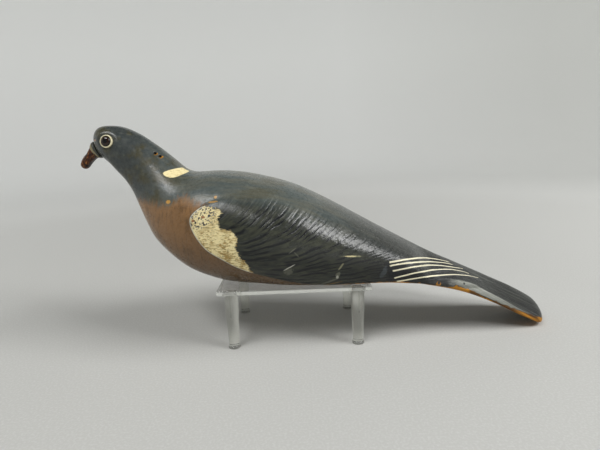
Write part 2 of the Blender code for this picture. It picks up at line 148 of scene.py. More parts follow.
# The bevelled side of the tail
BEVEL_FULL_MM = 5.0          # a side is wholly bevelled once its bevel is this high,
BEVEL_FULL_RIB_MM = 14.0     # or on a rib lower than this, once it is as high in proportion
BEVEL_EDGE = 0.36            # where the bevel's lower edge lies, as a share of its top
BEVEL_SLOPE = 0.66           # how far the bevel leans in for each millimetre that it rises
DOME_POWER = 1.35            # the top above a bevel: 1 is a gable, 2 an arch


def placed(x: float, y: float, z: float) -> Vector:
    """A point of the lines plan, in metres in the frame."""
    return Vector(((x - PLAN_MIDDLE_MM) * MM, y * MM, z * MM + SOLE_HEIGHT))


def smooth_ribs(ribs: Sequence[Rib], steps: int) -> list[Rib]:
    """Put more ribs on a smooth curve through the given ones.

    Args:
        ribs: The ribs of the lines plan.
        steps: How many spans to make of each pair.

    Returns:
        The finer row. Its curve is level where a value turns or stops changing.
    """
    table = np.array(ribs)
    middle = (table[:, 0:2] + table[:, 2:4]) / 2
    run = np.linalg.norm(np.diff(middle, axis=0), axis=1)[:, None]
    slope = np.diff(table, axis=0) / run
    inner = (slope[:-1] * run[1:] + slope[1:] * run[:-1]) / (run[1:] + run[:-1])
    inner[slope[:-1] * slope[1:] <= 0] = 0.0
    tangent = np.vstack([1.5 * slope[0] - 0.5 * inner[0], inner, 1.5 * slope[-1] - 0.5 * inner[-1]])
    fine = []
    for i in range(len(table) - 1):
        for t in np.arange(steps) / steps:
            fine.append((2 * t**3 - 3 * t**2 + 1) * table[i] + (t**3 - 2 * t**2 + t) * run[i] * tangent[i]
                        + (3 * t**2 - 2 * t**3) * table[i + 1] + (t**3 - t**2) * run[i] * tangent[i + 1])
    return [Rib(*row) for row in fine] + [ribs[-1]]


def rounded_end(rib: Rib, run: float, heading: float, focus: float, steps: int) -> list[Rib]:
    """Close a form beyond its last rib with a quarter-ellipse.

    Args:
        rib: The last rib.
        run: How far the end runs, in millimetres.
        heading: Its direction in the profile, in radians above +X.
        focus: Height on the last rib that it closes to, as a share.
        steps: How many ribs to add.

    Returns:
        The added ribs.
    """
    at_x = rib.keel_x + (rib.back_x - rib.keel_x) * focus
    at_z = rib.keel_z + (rib.back_z - rib.keel_z) * focus
    ribs = []
    for k in range(1, steps + 1):
        angle = math.pi / 2 * k / (steps + TIP_REMAINDER)
        share = math.cos(angle)
        dx, dz = math.cos(heading) * math.sin(angle) * run, math.sin(heading) * math.sin(angle) * run
        ribs.append(rib._replace(
            back_x=at_x + (rib.back_x - at_x) * share + dx, back_z=at_z + (rib.back_z - at_z) * share + dz,
            keel_x=at_x + (rib.keel_x - at_x) * share + dx, keel_z=at_z + (rib.keel_z - at_z) * share + dz,
            half_width=rib.half_width * share, flat=rib.flat * share, bevel=rib.bevel * share))
    return ribs


def bevel_spans(side: int) -> int:
    """How many of a side's spans lie on its bevel."""
    return side * 5 // 9


def half_section(rib: Rib, steps: tuple[int, int, int]) -> np.ndarray:
    """Half a rib, from the middle of the back to the middle of the flat.

    Args:
        rib: The rib.
        steps: Spans down to the widest line, on down to the flat, and across the flat.

    Returns:
        Rows of (across, up) in millimetres.
    """
    upper, lower, flat = steps
    height = math.hypot(rib.back_x - rib.keel_x, rib.back_z - rib.keel_z)
    widest = rib.rise * height
    angle = math.pi / 2 * (1 - np.arange(upper) / upper)
    crown = np.column_stack([rib.half_width * np.abs(np.cos(angle)) ** (2 / rib.fullness),
                             widest + (height - widest) * np.sin(angle) ** (2 / rib.fullness)])
    t = np.arange(lower) / lower
    side = np.column_stack([(1 - t * t) * rib.half_width + t * t * rib.flat,
                            (1 - t)**2 * widest + 2 * t * (1 - t) * widest * rib.arris])
    blend = min(1.0, rib.bevel / (BEVEL_FULL_MM * min(1.0, height / BEVEL_FULL_RIB_MM)))
    if blend > 0:
        blend = blend * blend * (3 - 2 * blend)
        edge = BEVEL_EDGE * rib.bevel
        lip = rib.half_width - BEVEL_SLOPE * (rib.bevel - edge)
        share = np.arange(upper) / upper
        dome = np.column_stack([lip * share, rib.bevel + (height - rib.bevel) * (1 - share**DOME_POWER)])
        slant = bevel_spans(lower)
        s = np.arange(slant) / slant
        bevel = np.column_stack([lip + (rib.half_width - lip) * s, rib.bevel + (edge - rib.bevel) * s])
        r = np.arange(lower - slant) / (lower - slant)
        turn = np.column_stack([rib.half_width + (rib.flat - rib.half_width) * r * r, edge * (1 - r)])
        crown = crown * (1 - blend) + dome * blend
        side = side * (1 - blend) + np.vstack([bevel, turn]) * blend
    sole = np.column_stack([rib.flat * (1 - np.arange(flat + 1) / flat), np.zeros(flat + 1)])
    return np.vstack([crown, side, sole])


# ------------------------------------------------------------------ modelling by hand

def select_only(*pieces: Piece) -> None:
    """Deselect everything, then select these pieces and make the last one active.

    Args:
        *pieces: The pieces.
    """
    bpy.ops.object.select_all(action="DESELECT")
    for piece in pieces:
        piece.select_set(True)
        bpy.context.view_layer.objects.active = piece


def added(name: str) -> Piece:
    """Name the primitive that was just added."""
    piece = bpy.context.object
    piece.name = piece.data.name = name
    return piece


def settle(piece: Piece) -> None:
    """Put a piece's place into its mesh, so its object sits at the origin."""
    select_only(piece)
    bpy.ops.object.transform_apply(location=True, rotation=True, scale=True)


def apply_modifier(piece: Piece, kind: str, **settings: Any) -> None:
    """Add a modifier with its settings and apply it.

    Args:
        piece: The piece it works on.
        kind: Blender's name for the modifier's type.
        **settings: The modifier's own properties.
    """
    select_only(piece)
    bpy.ops.object.modifier_add(type=kind)
    modifier = piece.modifiers[-1]
    for name, value in settings.items():
        setattr(modifier, name, value)
    bpy.ops.object.modifier_apply(modifier=modifier.name)


def face_outwards(piece: Piece) -> None:
    """Turn all faces of a closed piece outwards.

    Args:
        piece: The piece.
    """
    select_only(piece)
    bpy.ops.object.mode_set(mode="EDIT")
    bpy.ops.mesh.select_all(action="SELECT")
    bpy.ops.mesh.normals_make_consistent(inside=False)
    bpy.ops.object.mode_set(mode="OBJECT")


def points_of(piece: Piece) -> np.ndarray:
    """The piece's vertices, as rows of x, y and z in metres."""
    flat = np.empty(len(piece.data.vertices) * 3)
    piece.data.vertices.foreach_get("co", flat)
    return flat.reshape(-1, 3)


def normals_of(piece: Piece) -> np.ndarray:
    """The piece's vertex normals, as rows."""
    flat = np.empty(len(piece.data.vertices) * 3)
    piece.data.vertex_normals.foreach_get("vector", flat)
    return flat.reshape(-1, 3)


def move_points(piece: Piece, points: np.ndarray) -> None:
    """Put the piece's vertices at new places."""
    piece.data.vertices.foreach_set("co", points.ravel())
    piece.data.update()


def read_layer(piece: Piece, name: str) -> np.ndarray:
    """Read a number that each vertex carries."""
    values = np.empty(len(piece.data.vertices), np.float32)
    piece.data.attributes[name].data.foreach_get("value", values)
    return values.astype(float)


def write_layer(piece: Piece, name: str, *columns: np.ndarray) -> None:
    """Give each vertex a number, or a vector of three.

    Args:
        piece: The piece that carries the layer.
        name: The layer's name, which a material reads.
        *columns: One column for a number, or three for a vector.
    """
    old = piece.data.attributes.get(name)
    if old:
        piece.data.attributes.remove(old)
    kind, key = ("FLOAT", "value") if len(columns) == 1 else ("FLOAT_VECTOR", "vector")
    layer = piece.data.attributes.new(name, kind, "POINT")
    layer.data.foreach_set(key, np.column_stack(columns).astype(np.float32).ravel())


def write_flow(piece: Piece) -> None:
    """Give each vertex its place along the piece and round it from the ridge, on its side and plain."""
    along, girth, around = (read_layer(piece, key) for key in ("along", "girth", "around"))
    write_layer(piece, "flow", along, girth * np.sign(around + 1e-9), girth)


def unevenness(points: np.ndarray, per_metre: float) -> np.ndarray:
    """Smooth unevenness from about -1 to 1 at each point, with so many bumps and dips for each metre."""
    return np.array([noise.noise(Vector(row)) for row in points * per_metre])


def dress(piece: Piece, material: Paint, crease: float | None = None) -> None:
    """Smooth a finished piece, give it its material and put it on the body.

    Args:
        piece: The piece.
        material: Its material.
        crease: The angle past which an edge stays sharp, in radians, or None to keep none sharp.
    """
    select_only(piece)
    if crease is None:
        bpy.ops.object.shade_smooth()
    else:
        bpy.ops.object.shade_smooth_by_angle(angle=crease)
    piece.data.materials.clear()
    piece.data.materials.append(material)
    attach(piece, BODY)


def ring_loft(name: str, ribs: Sequence[Rib], steps: tuple[int, int, int]) -> Piece:
    """Extrude a ring of points through a row of ribs.

    Args:
        name: The piece's name.
        ribs: The ribs, from the front to the back.
        steps: Spans of half a ring, as for half_section.

    Returns:
        A closed cage. Its vertices carry `along`, `girth`, `up` and `below_arris` in millimetres, and
        `around` from -1 to 1, with 0 on the back's ridge.
    """
    rows, layers, along, before = [], [], 0.0, None
    for rib in ribs:
        half = half_section(rib, steps)
        girth = np.concatenate([[0], np.cumsum(np.linalg.norm(np.diff(half, axis=0), axis=1))])
        around = np.arange(len(half)) / (len(half) - 1)
        height = math.hypot(rib.back_x - rib.keel_x, rib.back_z - rib.keel_z)
        ux, uz = (rib.back_x - rib.keel_x) / height, (rib.back_z - rib.keel_z) / height
        middle = Vector(((rib.back_x + rib.keel_x) / 2, (rib.back_z + rib.keel_z) / 2))
        along += (middle - before).length if before else 0.0
        before = middle
        ring, marks = [], []
        order = [(k, -1) for k in range(len(half))] + [(k, 1) for k in range(len(half) - 2, 0, -1)]
        for k, side in order:
            across, up = half[k]
            ring.append(placed(rib.keel_x + ux * up, side * across, rib.keel_z + uz * up))
            marks.append((along, side * around[k], girth[k], up, girth[k] - girth[steps[0] + steps[1]]))
        rows.append(np.array(ring))
        layers.append(marks)

    bpy.ops.object.select_all(action="DESELECT")
    bpy.ops.mesh.primitive_circle_add(vertices=len(rows[0]), radius=1.0, fill_type="NGON")
    piece = added(name)
    piece.data.vertices.foreach_set("co", rows[0].ravel())
    names = ("along", "around", "girth", "up", "below_arris")
    bpy.ops.object.mode_set(mode="EDIT")
    mesh = bmesh.from_edit_mesh(piece.data)
    for layer in names:
        mesh.verts.layers.float.new(layer)
    mesh.verts.ensure_lookup_table()
    for vertex, values in zip(mesh.verts, layers[0]):
        for layer, value in zip(names, values):
            vertex[mesh.verts.layers.float[layer]] = value
    bpy.ops.mesh.select_all(action="SELECT")
    for old, new, marks in zip(rows, rows[1:], layers[1:]):
        bpy.ops.mesh.extrude_region_move(TRANSFORM_OT_translate={"value": (0.0, 0.0, 0.0)})
        mesh = bmesh.from_edit_mesh(piece.data)
        keys = [mesh.verts.layers.float[layer] for layer in names]
        for vertex in [v for v in mesh.verts if v.select]:
            k = int(np.argmin(((old - np.array(vertex.co)) ** 2).sum(axis=1)))
            vertex.co = new[k]
            for key, value in zip(keys, marks[k]):
                vertex[key] = value
    bmesh.update_edit_mesh(piece.data)
    bpy.ops.object.mode_set(mode="OBJECT")
    settle(piece)
    face_outwards(piece)
    return piece


# ------------------------------------------------------------------ distances for painted edges

def eased(low: float, high: float, value: np.ndarray) -> np.ndarray:
    """Rise smoothly from 0 at low to 1 at high."""
    t = np.clip((value - low) / (high - low), 0, 1)
    return t * t * (3 - 2 * t)


def between(value: np.ndarray, path: Path) -> np.ndarray:
    """Read a number off the straight lines between a few given ones."""
    return np.interp(value, *np.array(path, float).T)


def curved(path: Path, spans: int = 5, closed: bool = False) -> np.ndarray:
    """Draw a smooth curve through a few points.

    Args:
        path: The points it passes through.
        spans: How many straight spans to make of each gap.
        closed: Whether the end joins the start.

    Returns:
        The curve's points, as rows.
    """
    points = np.array(path, float)
    if closed:
        ring = np.vstack([points[-1], points, points[:2]])
    else:
        ring = np.vstack([2 * points[0] - points[1], points, 2 * points[-1] - points[-2]])
    fine = []
    for a, b, c, d in zip(ring, ring[1:], ring[2:], ring[3:]):
        for t in np.arange(spans) / spans:
            fine.append(0.5 * (2 * b + (c - a) * t + (2 * a - 5 * b + 4 * c - d) * t**2
                               + (3 * b - a - 3 * c + d) * t**3))
    return np.array(fine if closed else fine + [points[-1]])


def edge_distance(path: np.ndarray, u: np.ndarray, v: np.ndarray) -> np.ndarray:
    """Distance to an open line, positive on its left as it is walked.

    Args:
        path: The line's points, as rows.
        u: First coordinate of each vertex.
        v: Second coordinate of each vertex.

    Returns:
        The signed distances, in the line's unit.
    """
    best = np.full(len(u), np.inf)
    side = np.zeros(len(u))
    for (au, av), (bu, bv) in zip(path, path[1:]):
        du, dv = bu - au, bv - av
        t = np.clip(((u - au) * du + (v - av) * dv) / (du * du + dv * dv), 0, 1)
        gap = (u - au - t * du) ** 2 + (v - av - t * dv) ** 2
        nearer = gap < best
        side = np.where(nearer, np.sign(du * (v - av) - dv * (u - au)), side)
        best = np.where(nearer, gap, best)
    return np.sqrt(best) * side


def outline_distance(path: np.ndarray, u: np.ndarray, v: np.ndarray) -> np.ndarray:
    """Distance to a closed outline, positive inside it.

    Args:
        path: The outline's points, as rows.
        u: First coordinate of each vertex.
        v: Second coordinate of each vertex.

    Returns:
        The signed distances, in the outline's unit.
    """
    ring = np.vstack([path, path[:1]])
    inside = np.zeros(len(u), bool)
    for (au, av), (bu, bv) in zip(ring, ring[1:]):
        if av != bv:
            crosses = (av > v) != (bv > v)
            inside ^= crosses & (u < (bu - au) * (v - av) / (bv - av) + au)
    return np.abs(edge_distance(ring, u, v)) * np.where(inside, 1, -1)


# ------------------------------------------------------------------ colours and materials

MIX_A, MIX_B, MIX_COLOUR = 6, 7, 2          # the colour sockets of a Mix node
NUMBER_A, NUMBER_B = 2, 3                   # its number sockets
SPOT_EDGE_MM = 1.4286                       # the unevenness of a small mark's edge


def linear(colour: str) -> tuple[float, float, float, float]:
    """Turn an sRGB hex colour into linear light.

    Args:
        colour: Six hex digits after a hash.

    Returns:
        Red, green, blue and full alpha.
    """
    parts = [int(colour[k:k + 2], 16) / 255 for k in (1, 3, 5)]
    red, green, blue = (c / 12.92 if c <= 0.04045 else ((c + 0.055) / 1.055) ** 2.4 for c in parts)
    return red, green, blue, 1.0


def cells(size: float) -> float:
    """How many times a pattern of this size, in millimetres, goes into a metre."""
    return 1 / (size * MM)


class Recipe:
    """A material while it is being written, from its base coat to its wear."""

    def __init__(self, name: str) -> None:
        """Start an empty material under its real name.

        Args:
            name: The real material and its finish.
        """
        self.material = bpy.data.materials.new(name)
        self.material.use_nodes = True
        self.tree = self.material.node_tree
        self.tree.nodes.clear()

    def put(self, kind: str, inputs: Sequence[Any] | dict[int | str, Any] = (), out: int | str = 0,
            **settings: Any) -> Socket:
        """Add a node, set it up and fill its inputs.

        Args:
            kind: The node's type, without its ShaderNode prefix.
            inputs: A number, hex colour or linked socket for each input, in order, or by index or name.
            out: Which output to hand back.
            **settings: The node's own properties.

        Returns:
            The output socket, whose node is at hand through it.
        """
        node = self.tree.nodes.new("ShaderNode" + kind)
        for name, value in settings.items():
            setattr(node, name, value)
        for key, value in inputs.items() if isinstance(inputs, dict) else enumerate(inputs):
            if isinstance(value, Socket):
                self.tree.links.new(value, node.inputs[key])
            else:
                node.inputs[key].default_value = linear(value) if isinstance(value, str) else value
        return node.outputs[out]

    @cached_property
    def here(self) -> Socket:
        """The place on the piece, in metres."""
        return self.put("TexCoord", out="Object")

    def layer(self, name: str) -> Sequence[Socket]:
        """The three numbers that each vertex carries under a name."""
        carried = self.put("Attribute", out="Vector", attribute_name=name)
        return self.put("SeparateXYZ", (carried,)).node.outputs

    def drawn(self, size: tuple[float, float], detail: float, roughness: float) -> Socket:
        """Streaks that follow the piece.

        Args:
            size: Their length and width, in millimetres.
            detail: How many finer rows of streaks lie within them.
            roughness: How strong the finer ones are.

        Returns:
            The pattern.
        """
        flow = self.put("Attribute", out="Vector", attribute_name="flow")
        pulled = self.put("Mapping", {"Vector": flow, "Scale": (1 / size[0], 1 / size[1], 0.0)})
        return self.put("TexNoise", {"Vector": pulled, "Scale": 1.0, "Detail": detail,
                                     "Roughness": roughness})

    def over(self, under: Tone, *coats: tuple[Mask, Tone]) -> Tone:
        """Lay colours over another one in turn, each where its mask is 1."""
        for mask, colour in coats:
            under = self.put("Mix", {0: mask, MIX_A: under, MIX_B: colour}, out=MIX_COLOUR, data_type="RGBA")
        return under

    def blot(self, mark: Mark) -> Socket:
        """A mask that is as strong as the mark is inside its uneven edge, and 0 outside it.

        Args:
            mark: The mark.

        Returns:
            The mask.
        """
        near = self.put("Mapping", {"Vector": self.here, "Location": placed(*mark.centre),
                                    "Rotation": (0.0, math.radians(-mark.turn), 0.0),
                                    "Scale": [half * MM for half in mark.size]}, vector_type="TEXTURE")
        reach = self.put("VectorMath", (near,), out="Value", operation="LENGTH")
        uneven = self.put("TexNoise", {"Vector": self.here, "Scale": cells(SPOT_EDGE_MM), "Detail": 2.0})
        edge = self.put("Math", (uneven, 2 * mark.ragged, reach), operation="MULTIPLY_ADD")
        return self.put("MapRange", (edge, 0.8 + mark.ragged, 1.2 + mark.ragged, mark.strength, 0.0),
                        interpolation_type="SMOOTHSTEP")

    def finish(self, bump: Socket | None, **inputs: Any) -> Paint:
        """Close the material with one Principled shader.

        Args:
            bump: Height of the surface in millimetres, or None for a smooth one.
            **inputs: The shader's inputs, with _ for each space of their names.

        Returns:
            The material.
        """
        named = {key.replace("_", " "): value for key, value in inputs.items()}
        if bump is not None:
            named["Normal"] = self.put("Bump", {"Height": bump, "Distance": MM, "Strength": 1.0})
            if "Coat Weight" in named:
                named["Coat Normal"] = named["Normal"]
        shader = self.put("BsdfPrincipled", named)
        end = self.tree.nodes.new("ShaderNodeOutputMaterial")
        self.tree.links.new(shader, end.inputs["Surface"])
        return self.material


# ------------------------------------------------------------------ the painted carving

WING_OUTLINE = (                  # the raised wing, in x and z: round its front, back along its top
    (-66, 73.5), (-75.5, 70.4), (-81.5, 69.0), (-87, 66.8), (-92.1, 64.2), (-96.4, 60.9), (-98.9, 57.3),
    (-99.1, 53.4), (-97.7, 48.5), (-94.2, 42.1),
    (-87.3, 33.4), (-76.3, 26), (-64.7, 18.7), (-52.8, 13.3), (-34.2, 7.3), (-19.1, 3.6), (0, 0.4),
    (30, -2), (70, -3), (98, -8), (124, -12), (133, -10.5), (116, -2.6), (92, 8), (62, 23.5),
    (30, 40.5), (-4, 58.5), (-36, 71),
)
WING_TOP_EDGE = ((-84, 68.6), (-76, 72.2), (-66, 74.5), (-36, 70), (-4, 57.5), (30, 39.5), (62, 23.0),
                 (92, 7.6), (116, -2.6), (133, -10.5))
WING_SHOULDER = (                 # the carved shoulder along the wing's upper side
    (-90, 72), (-68, 68.5), (-46, 61.5), (-24.6, 53.5), (-10.2, 48), (4.2, 41.5), (22.6, 33),
    (41.9, 25.8), (58, 19.4), (83, 9), (110, -2), (133, -10.5),
)
PATCH_FEATHERS = (                # the cream patch's ragged edge, downwards
    (-92.5, 68), (-89.5, 65.8), (-84.4, 65.4), (-79.8, 64.7), (-75.4, 62.6), (-75.6, 59.6), (-76.8, 56.5),
    (-75.1, 49.8), (-66.7, 47.8), (-62.7, 42.2), (-64.6, 35.6), (-61.5, 27.5), (-57.3, 23.2),
    (-56, 17.3), (-50.5, 10),
)
BREAST_TOP = (                    # where the brown breast meets the slate neck, towards the tail
    (-160, 70), (-146.2, 68.7), (-141.1, 69.1), (-128.1, 66.8), (-115.8, 67.6), (-105.3, 72.2),
    (-96.2, 69.2), (-89.7, 68.0), (-84, 62), (-76, 46), (-60, 26), (-30, 10), (0, 3), (40, -2),
    (70, -6), (95, -14), (120, -22), (150, -38), (190, -60),
)
NECK_PATCH = ((-123.6, 89.7), (-120.5, 91.2), (-117.0, 92.1), (-111.5, 92.5), (-106.4, 89.5),
              (-111, 87.0), (-114.5, 86.0), (-118, 86.0), (-121.6, 87.4))
NECK_PATCH_GAP_MM = 4.0           # slate left between the two neck patches, each side of the nape's ridge
QUILL_EDGES = (                   # the wing's five long white-edged feathers
    ((40, 16.8), (48.9, 17.7), (52.8, 17.8), (56.7, 17.9), (60.9, 17.8), (65.1, 17.5), (69.6, 16.9),
     (74.9, 15.6), (81.1, 13.1), (87.1, 10.8), (92.1, 9.3), (96.7, 8.0), (101.2, 6.6), (105.7, 5.1),
     (110.1, 3.4)),
    ((40, 13.2), (49.0, 14.7), (52.6, 15.1), (56.3, 15.3), (60.0, 15.3), (63.9, 15.2), (67.9, 14.8),
     (72.3, 14.1), (77.5, 12.5), (83.3, 10.2), (88.7, 8.5), (93.5, 7.2), (98.0, 6.1), (102.5, 5.0),
     (106.9, 3.7), (111.2, 2.2)),
    ((42, 9.2), (51.7, 10.4), (55.5, 10.7), (59.3, 11.1), (63.1, 11.4), (67.1, 11.7), (71.2, 11.6),
     (76.0, 10.8), (81.9, 8.8), (87.6, 7.0), (92.5, 5.8), (97.1, 4.8), (101.8, 3.5), (106.3, 2.3),
     (110.9, 1.0), (115.6, -0.4), (120.5, -2.0)),
    ((43, 1.9), (53.0, 3.8), (56.6, 4.6), (60.4, 5.3), (64.1, 5.9), (68.0, 6.5), (71.8, 6.9), (76.0, 6.9),
     (81.2, 5.8), (86.7, 4.5), (91.7, 3.6), (96.3, 3.0), (101.0, 2.2), (105.7, 1.2), (110.5, -0.2),
     (115.1, -1.6), (119.6, -3.2), (123.8, -5.1)),
    ((45, -0.8), (55.5, 0.5), (59.2, 0.9), (62.8, 1.3), (66.5, 1.7), (70.1, 2.0), (73.9, 2.3), (77.7, 2.4),
     (82.0, 2.0), (86.8, 1.1), (91.3, 0.5), (95.6, 0.1), (100.0, -0.4), (104.4, -1.1), (108.9, -1.9),
     (113.5, -3.0), (118.2, -4.2), (123.1, -5.8), (127.9, -7.6), (132.4, -9.4)),
)
QUILL_START = (48.8, 49.2, 51.8, 53.2, 55.6)           # where each white edge begins and ends, in x
QUILL_STOP = (109.5, 111.5, 120.5, 123.8, 132.0)
QUILL_HALF_MM = (0.70, 0.15)                           # half a white edge's width there
EYE_CENTRE_MM = (-166.8, 16.4, 115.8)
NECK_HOLES = ((-130.9, -11.2, 105.0), (-127.2, -11.1, 102.4))
WING_BOTTOM = ((-100, 44), (-60, 16), (-20, 3.5), (10, 0), (60, -1), (100, -6), (133, -12))
BARE_WIDTH = (                    # how far the bare wood reaches from the lower arris: x and width
    (-30, -2.0), (-8, 1.2), (30, 1.9), (96, 1.8), (102, 3.0), (107, 4.2), (122, 3.6), (128, 1.7),
    (136, 1.3), (146, 2.0), (158, 2.8), (172, 3.8), (184, 5.0), (192, 7.0))
GRIMY_STRETCHES = ((0.119, 0.128), (0.139, 0.158))     # where the bare edge is dark with dirt, x in metres

# The wing's brush strokes
STROKE_LEVELS = (0.12, 0.42, 0.80)    # the three rows, by their height in the wing
STROKE_LEAN = (0.12, 0.42, 0.62)      # slope of a stroke: level, for the wing's taper, and its upward curl
STROKE_HEIGHT_MM = 45.0               # the wing's height that a stroke's lean is drawn for
STROKE_GAP_MM = 3.0
STROKE_LENGTH_MM = 19.23
WANDER_MM = (16.67, 13.70, 11.63)     # how soon the strokes of each row wander
COMB_MM = (11.765, 1.613)             # length and width of the fine combing between them


def stroke_pitch(level: float) -> float:
    """How far apart strokes lie for each millimetre of their own number, at a height in the wing."""
    base, taper, curl = STROKE_LEAN
    lean = base + taper * level + curl * level**2
    return 1 / math.hypot(1 / lean, 1 - taper * level / lean)


BACK_MARKS = (
    Mark("slate_olive", (-50, -40, 72.5), (16, 30, 3.6), 0, 0.9, 0.55),
    Mark("slate_olive", (-38, -20, 79.5), (11, 16, 1.6), -18, 0.9, 0.75),
    Mark("slate_olive", (-13, -20, 70.5), (8, 16, 1.4), -18, 0.9, 0.5),
)
PATCH_CORNER = Mark("navy", (-91.5, -47, 61), (13, 30, 11), 0, 0.25)
RUST_SPOTS = (Mark("rust", (-88.2, -47, 58.2), (1.7, 9, 1.0), 0, 0.9, 0.85),
              Mark("rust", (-96.0, -46, 55.5), (1.0, 9, 0.9), 0, 0.9, 0.85))
WEAR_MARKS = (                    # scuffs, scratches and chips
    Mark("scuff", (-23.5, -57, 32.6), (3.4, 12, 0.45), 38, 0.30, 0.7),
    Mark("scuff", (-20.8, -57, 29.5), (2.6, 12, 0.5), -50, 0.30, 0.5),
    Mark("scuff", (-27.2, -55, 15.6), (3.4, 12, 3.0), 10, 0.80, 0.55),
    Mark("rim_white", (-26.6, -55, 19.0), (4.6, 12, 0.38), 30, 0.6, 0.75),
    Mark("scuff_pale", (20.3, -53, 25.2), (7.2, 12, 0.75), -5, 0.45, 0.75),
    Mark("cream", (19.0, -53, 25.4), (4.5, 12, 0.40), -5, 0.35, 0.8),
    Mark("scuff_pale", (11.8, -53, 17.6), (3.2, 12, 0.7), 55, 0.35, 0.7),
    Mark("scuff", (9.6, -51, 10.6), (1.6, 12, 2.6), -20, 0.60, 0.7),
    Mark("rim_white", (9.2, -51, 8.6), (1.0, 12, 1.6), 0, 0.40, 0.6),
    Mark("scuff", (3.0, -51, 4.6), (7.5, 12, 0.9), 22, 0.60, 0.6),
    Mark("cream_dark", (6.0, -51, 2.6), (6.5, 12, 0.45), 12, 0.60, 0.45),
    Mark("scuff_blue", (45.0, -46, 10.0), (2.0, 12, 5.0), -20, 0.80, 0.6),
    Mark("wood_pale", (-117.3, -34.1, 68.3), (1.9, 8, 1.3), 0, 0.45),
    Mark("wood_pale", (-79.3, -43.0, 71.6), (1.1, 8, 1.0), 0, 0.45, 0.9),
    Mark("wood_pale", (-81.0, -46.0, 68.6), (3.4, 8, 0.6), 5, 0.50, 0.7),
    Mark("ground_coat", (-177.9, -11.0, 117.0), (0.8, 4, 0.8), 0, 0.35),
    Mark("wood", (90.2, -36.0, -4.8), (2.2, 8, 1.7), 0, 0.50, 0.9),
    Mark("chip_dark", (90.6, -36.0, -4.2), (1.3, 8, 1.1), 0, 0.40),
    Mark("ink", (113.0, -30.0, -7.6), (0.8, 8, 0.7), 0, 0.30),
    *(Mark("wood", (x + 0.7, y, z - 0.5), (1.3, 4, 0.9), 0, 0.5) for x, y, z in NECK_HOLES),
    # Inside each hole the paint is near black: painted shade.
    *(Mark("hole_shade", (x - 0.1, y, z + 0.1), (1.2, 4, 1.1), 0, 0.15) for x, y, z in NECK_HOLES),
)


@dataclass(frozen=True)
class CarvingPaint:
    """Hand-brushed oil paint on carved wood, worn to the wood along its arrises.

    Thin old coats give the eye streaks, dabs and a satin gloss that wax and hands have polished in
    places. Some colours also carry painted shade, on the neck's sides, towards the breast's bottom and in
    the neck's holes, and a painted highlight, on the tail's bevels and grooves. Colours come first, then
    sizes in millimetres, then the gloss.
    """

    slate: str = "#63655c"
    slate_cool: str = "#535b59"
    slate_olive: str = "#4c472f"
    slate_pale: str = "#83867b"
    crown: str = "#3b4040"
    # Darker slate for the neck's sides: partly the paint's own tone, partly painted shade.
    throat_and_shade: str = "#1f2321"
    charcoal: str = "#404236"
    charcoal_cool: str = "#2a2d29"
    charcoal_pale: str = "#575a53"
    ink: str = "#15171a"
    breast: str = "#98724b"
    # Also paints the shade towards the breast's bottom, besides its darker mottles.
    breast_dark: str = "#4a3821"
    breast_pale: str = "#95785a"
    cream: str = "#f8e8b2"
    cream_dark: str = "#a98a4c"
    rim_white: str = "#d6d5c8"
    quill_white: str = "#fdf6d6"
    olive_fleck: str = "#665c36"
    navy: str = "#23262f"
    grey_fleck: str = "#8f95a0"
    rust: str = "#8a4a1e"
    wood: str = "#bc8022"
    wood_dark: str = "#4c3012"
    wood_pale: str = "#c8964a"
    ground_coat: str = "#b89682"
    # The dark inside the neck's holes: painted shade.
    hole_shade: str = "#140d08"
    chip_dark: str = "#1c0f08"
    tail_top: str = "#2a2c2a"
    tail_tip: str = "#121413"
    # Pale paint on the tail's bevel, with a painted highlight in it.
    tail_side_and_highlight: str = "#a5a79e"
    scuff: str = "#6f7061"
    scuff_pale: str = "#9a9778"
    scuff_blue: str = "#4d5458"
    # Brush hairs drag the wet paint along the body. Their real tracks, some 0.2 mm wide, are too fine to
    # show, so they are drawn as coarse as they need to be.
    hairs: tuple[float, float] = (22.22, 0.5263)
    streaks: tuple[float, float] = (33.33, 6.25)             # each load of paint leaves a broader streak
    grooves: tuple[float, float] = (45.45, 1.3333)           # the plane's, along the tail
    mottle: float = 13.33                                    # the thin coats are uneven
    dabs: float = 3.03                                       # the brush has dabbed the thicker ones
    dry_brush: tuple[float, float, float] = (1.613, 3.333, 22.22)      # its marks along, across and up
    stipple: tuple[float, float, float] = (3.333, 2.0, 0.7407)
    grime: float = 9.09
    spots: float = 1.613
    hair_relief: float = 0.07
    dab_relief: float = 0.13
    mottle_relief: float = 0.22
    groove_relief: float = 0.28
    stroke_relief: float = -0.14
    coat_relief: float = 0.10                                # a coat's own thickness, where it ends
    stipple_relief: float = 0.35
    quill_relief: float = 0.12
    bare_relief: float = -0.15
    roughness: float = 0.27
    cream_roughness: float = 0.55
    ink_roughness: float = 0.22
    wood_roughness: float = 0.62
    ior: float = 1.38
    wax: float = 0.30
    wax_roughness: float = 0.24
    wax_ior: float = 1.5

    def make(self) -> Paint:
        """Write the whole material, from the back's slate to the last scratch.

        Returns:
            The material.
        """
        paint = PaintLayers(Recipe("oil_painted_carved_wood"), self)
        for brush in (paint.back, paint.breast, paint.wing, paint.tail, paint.patches, paint.quills,
                      paint.wear):
            brush()
        return paint.done()


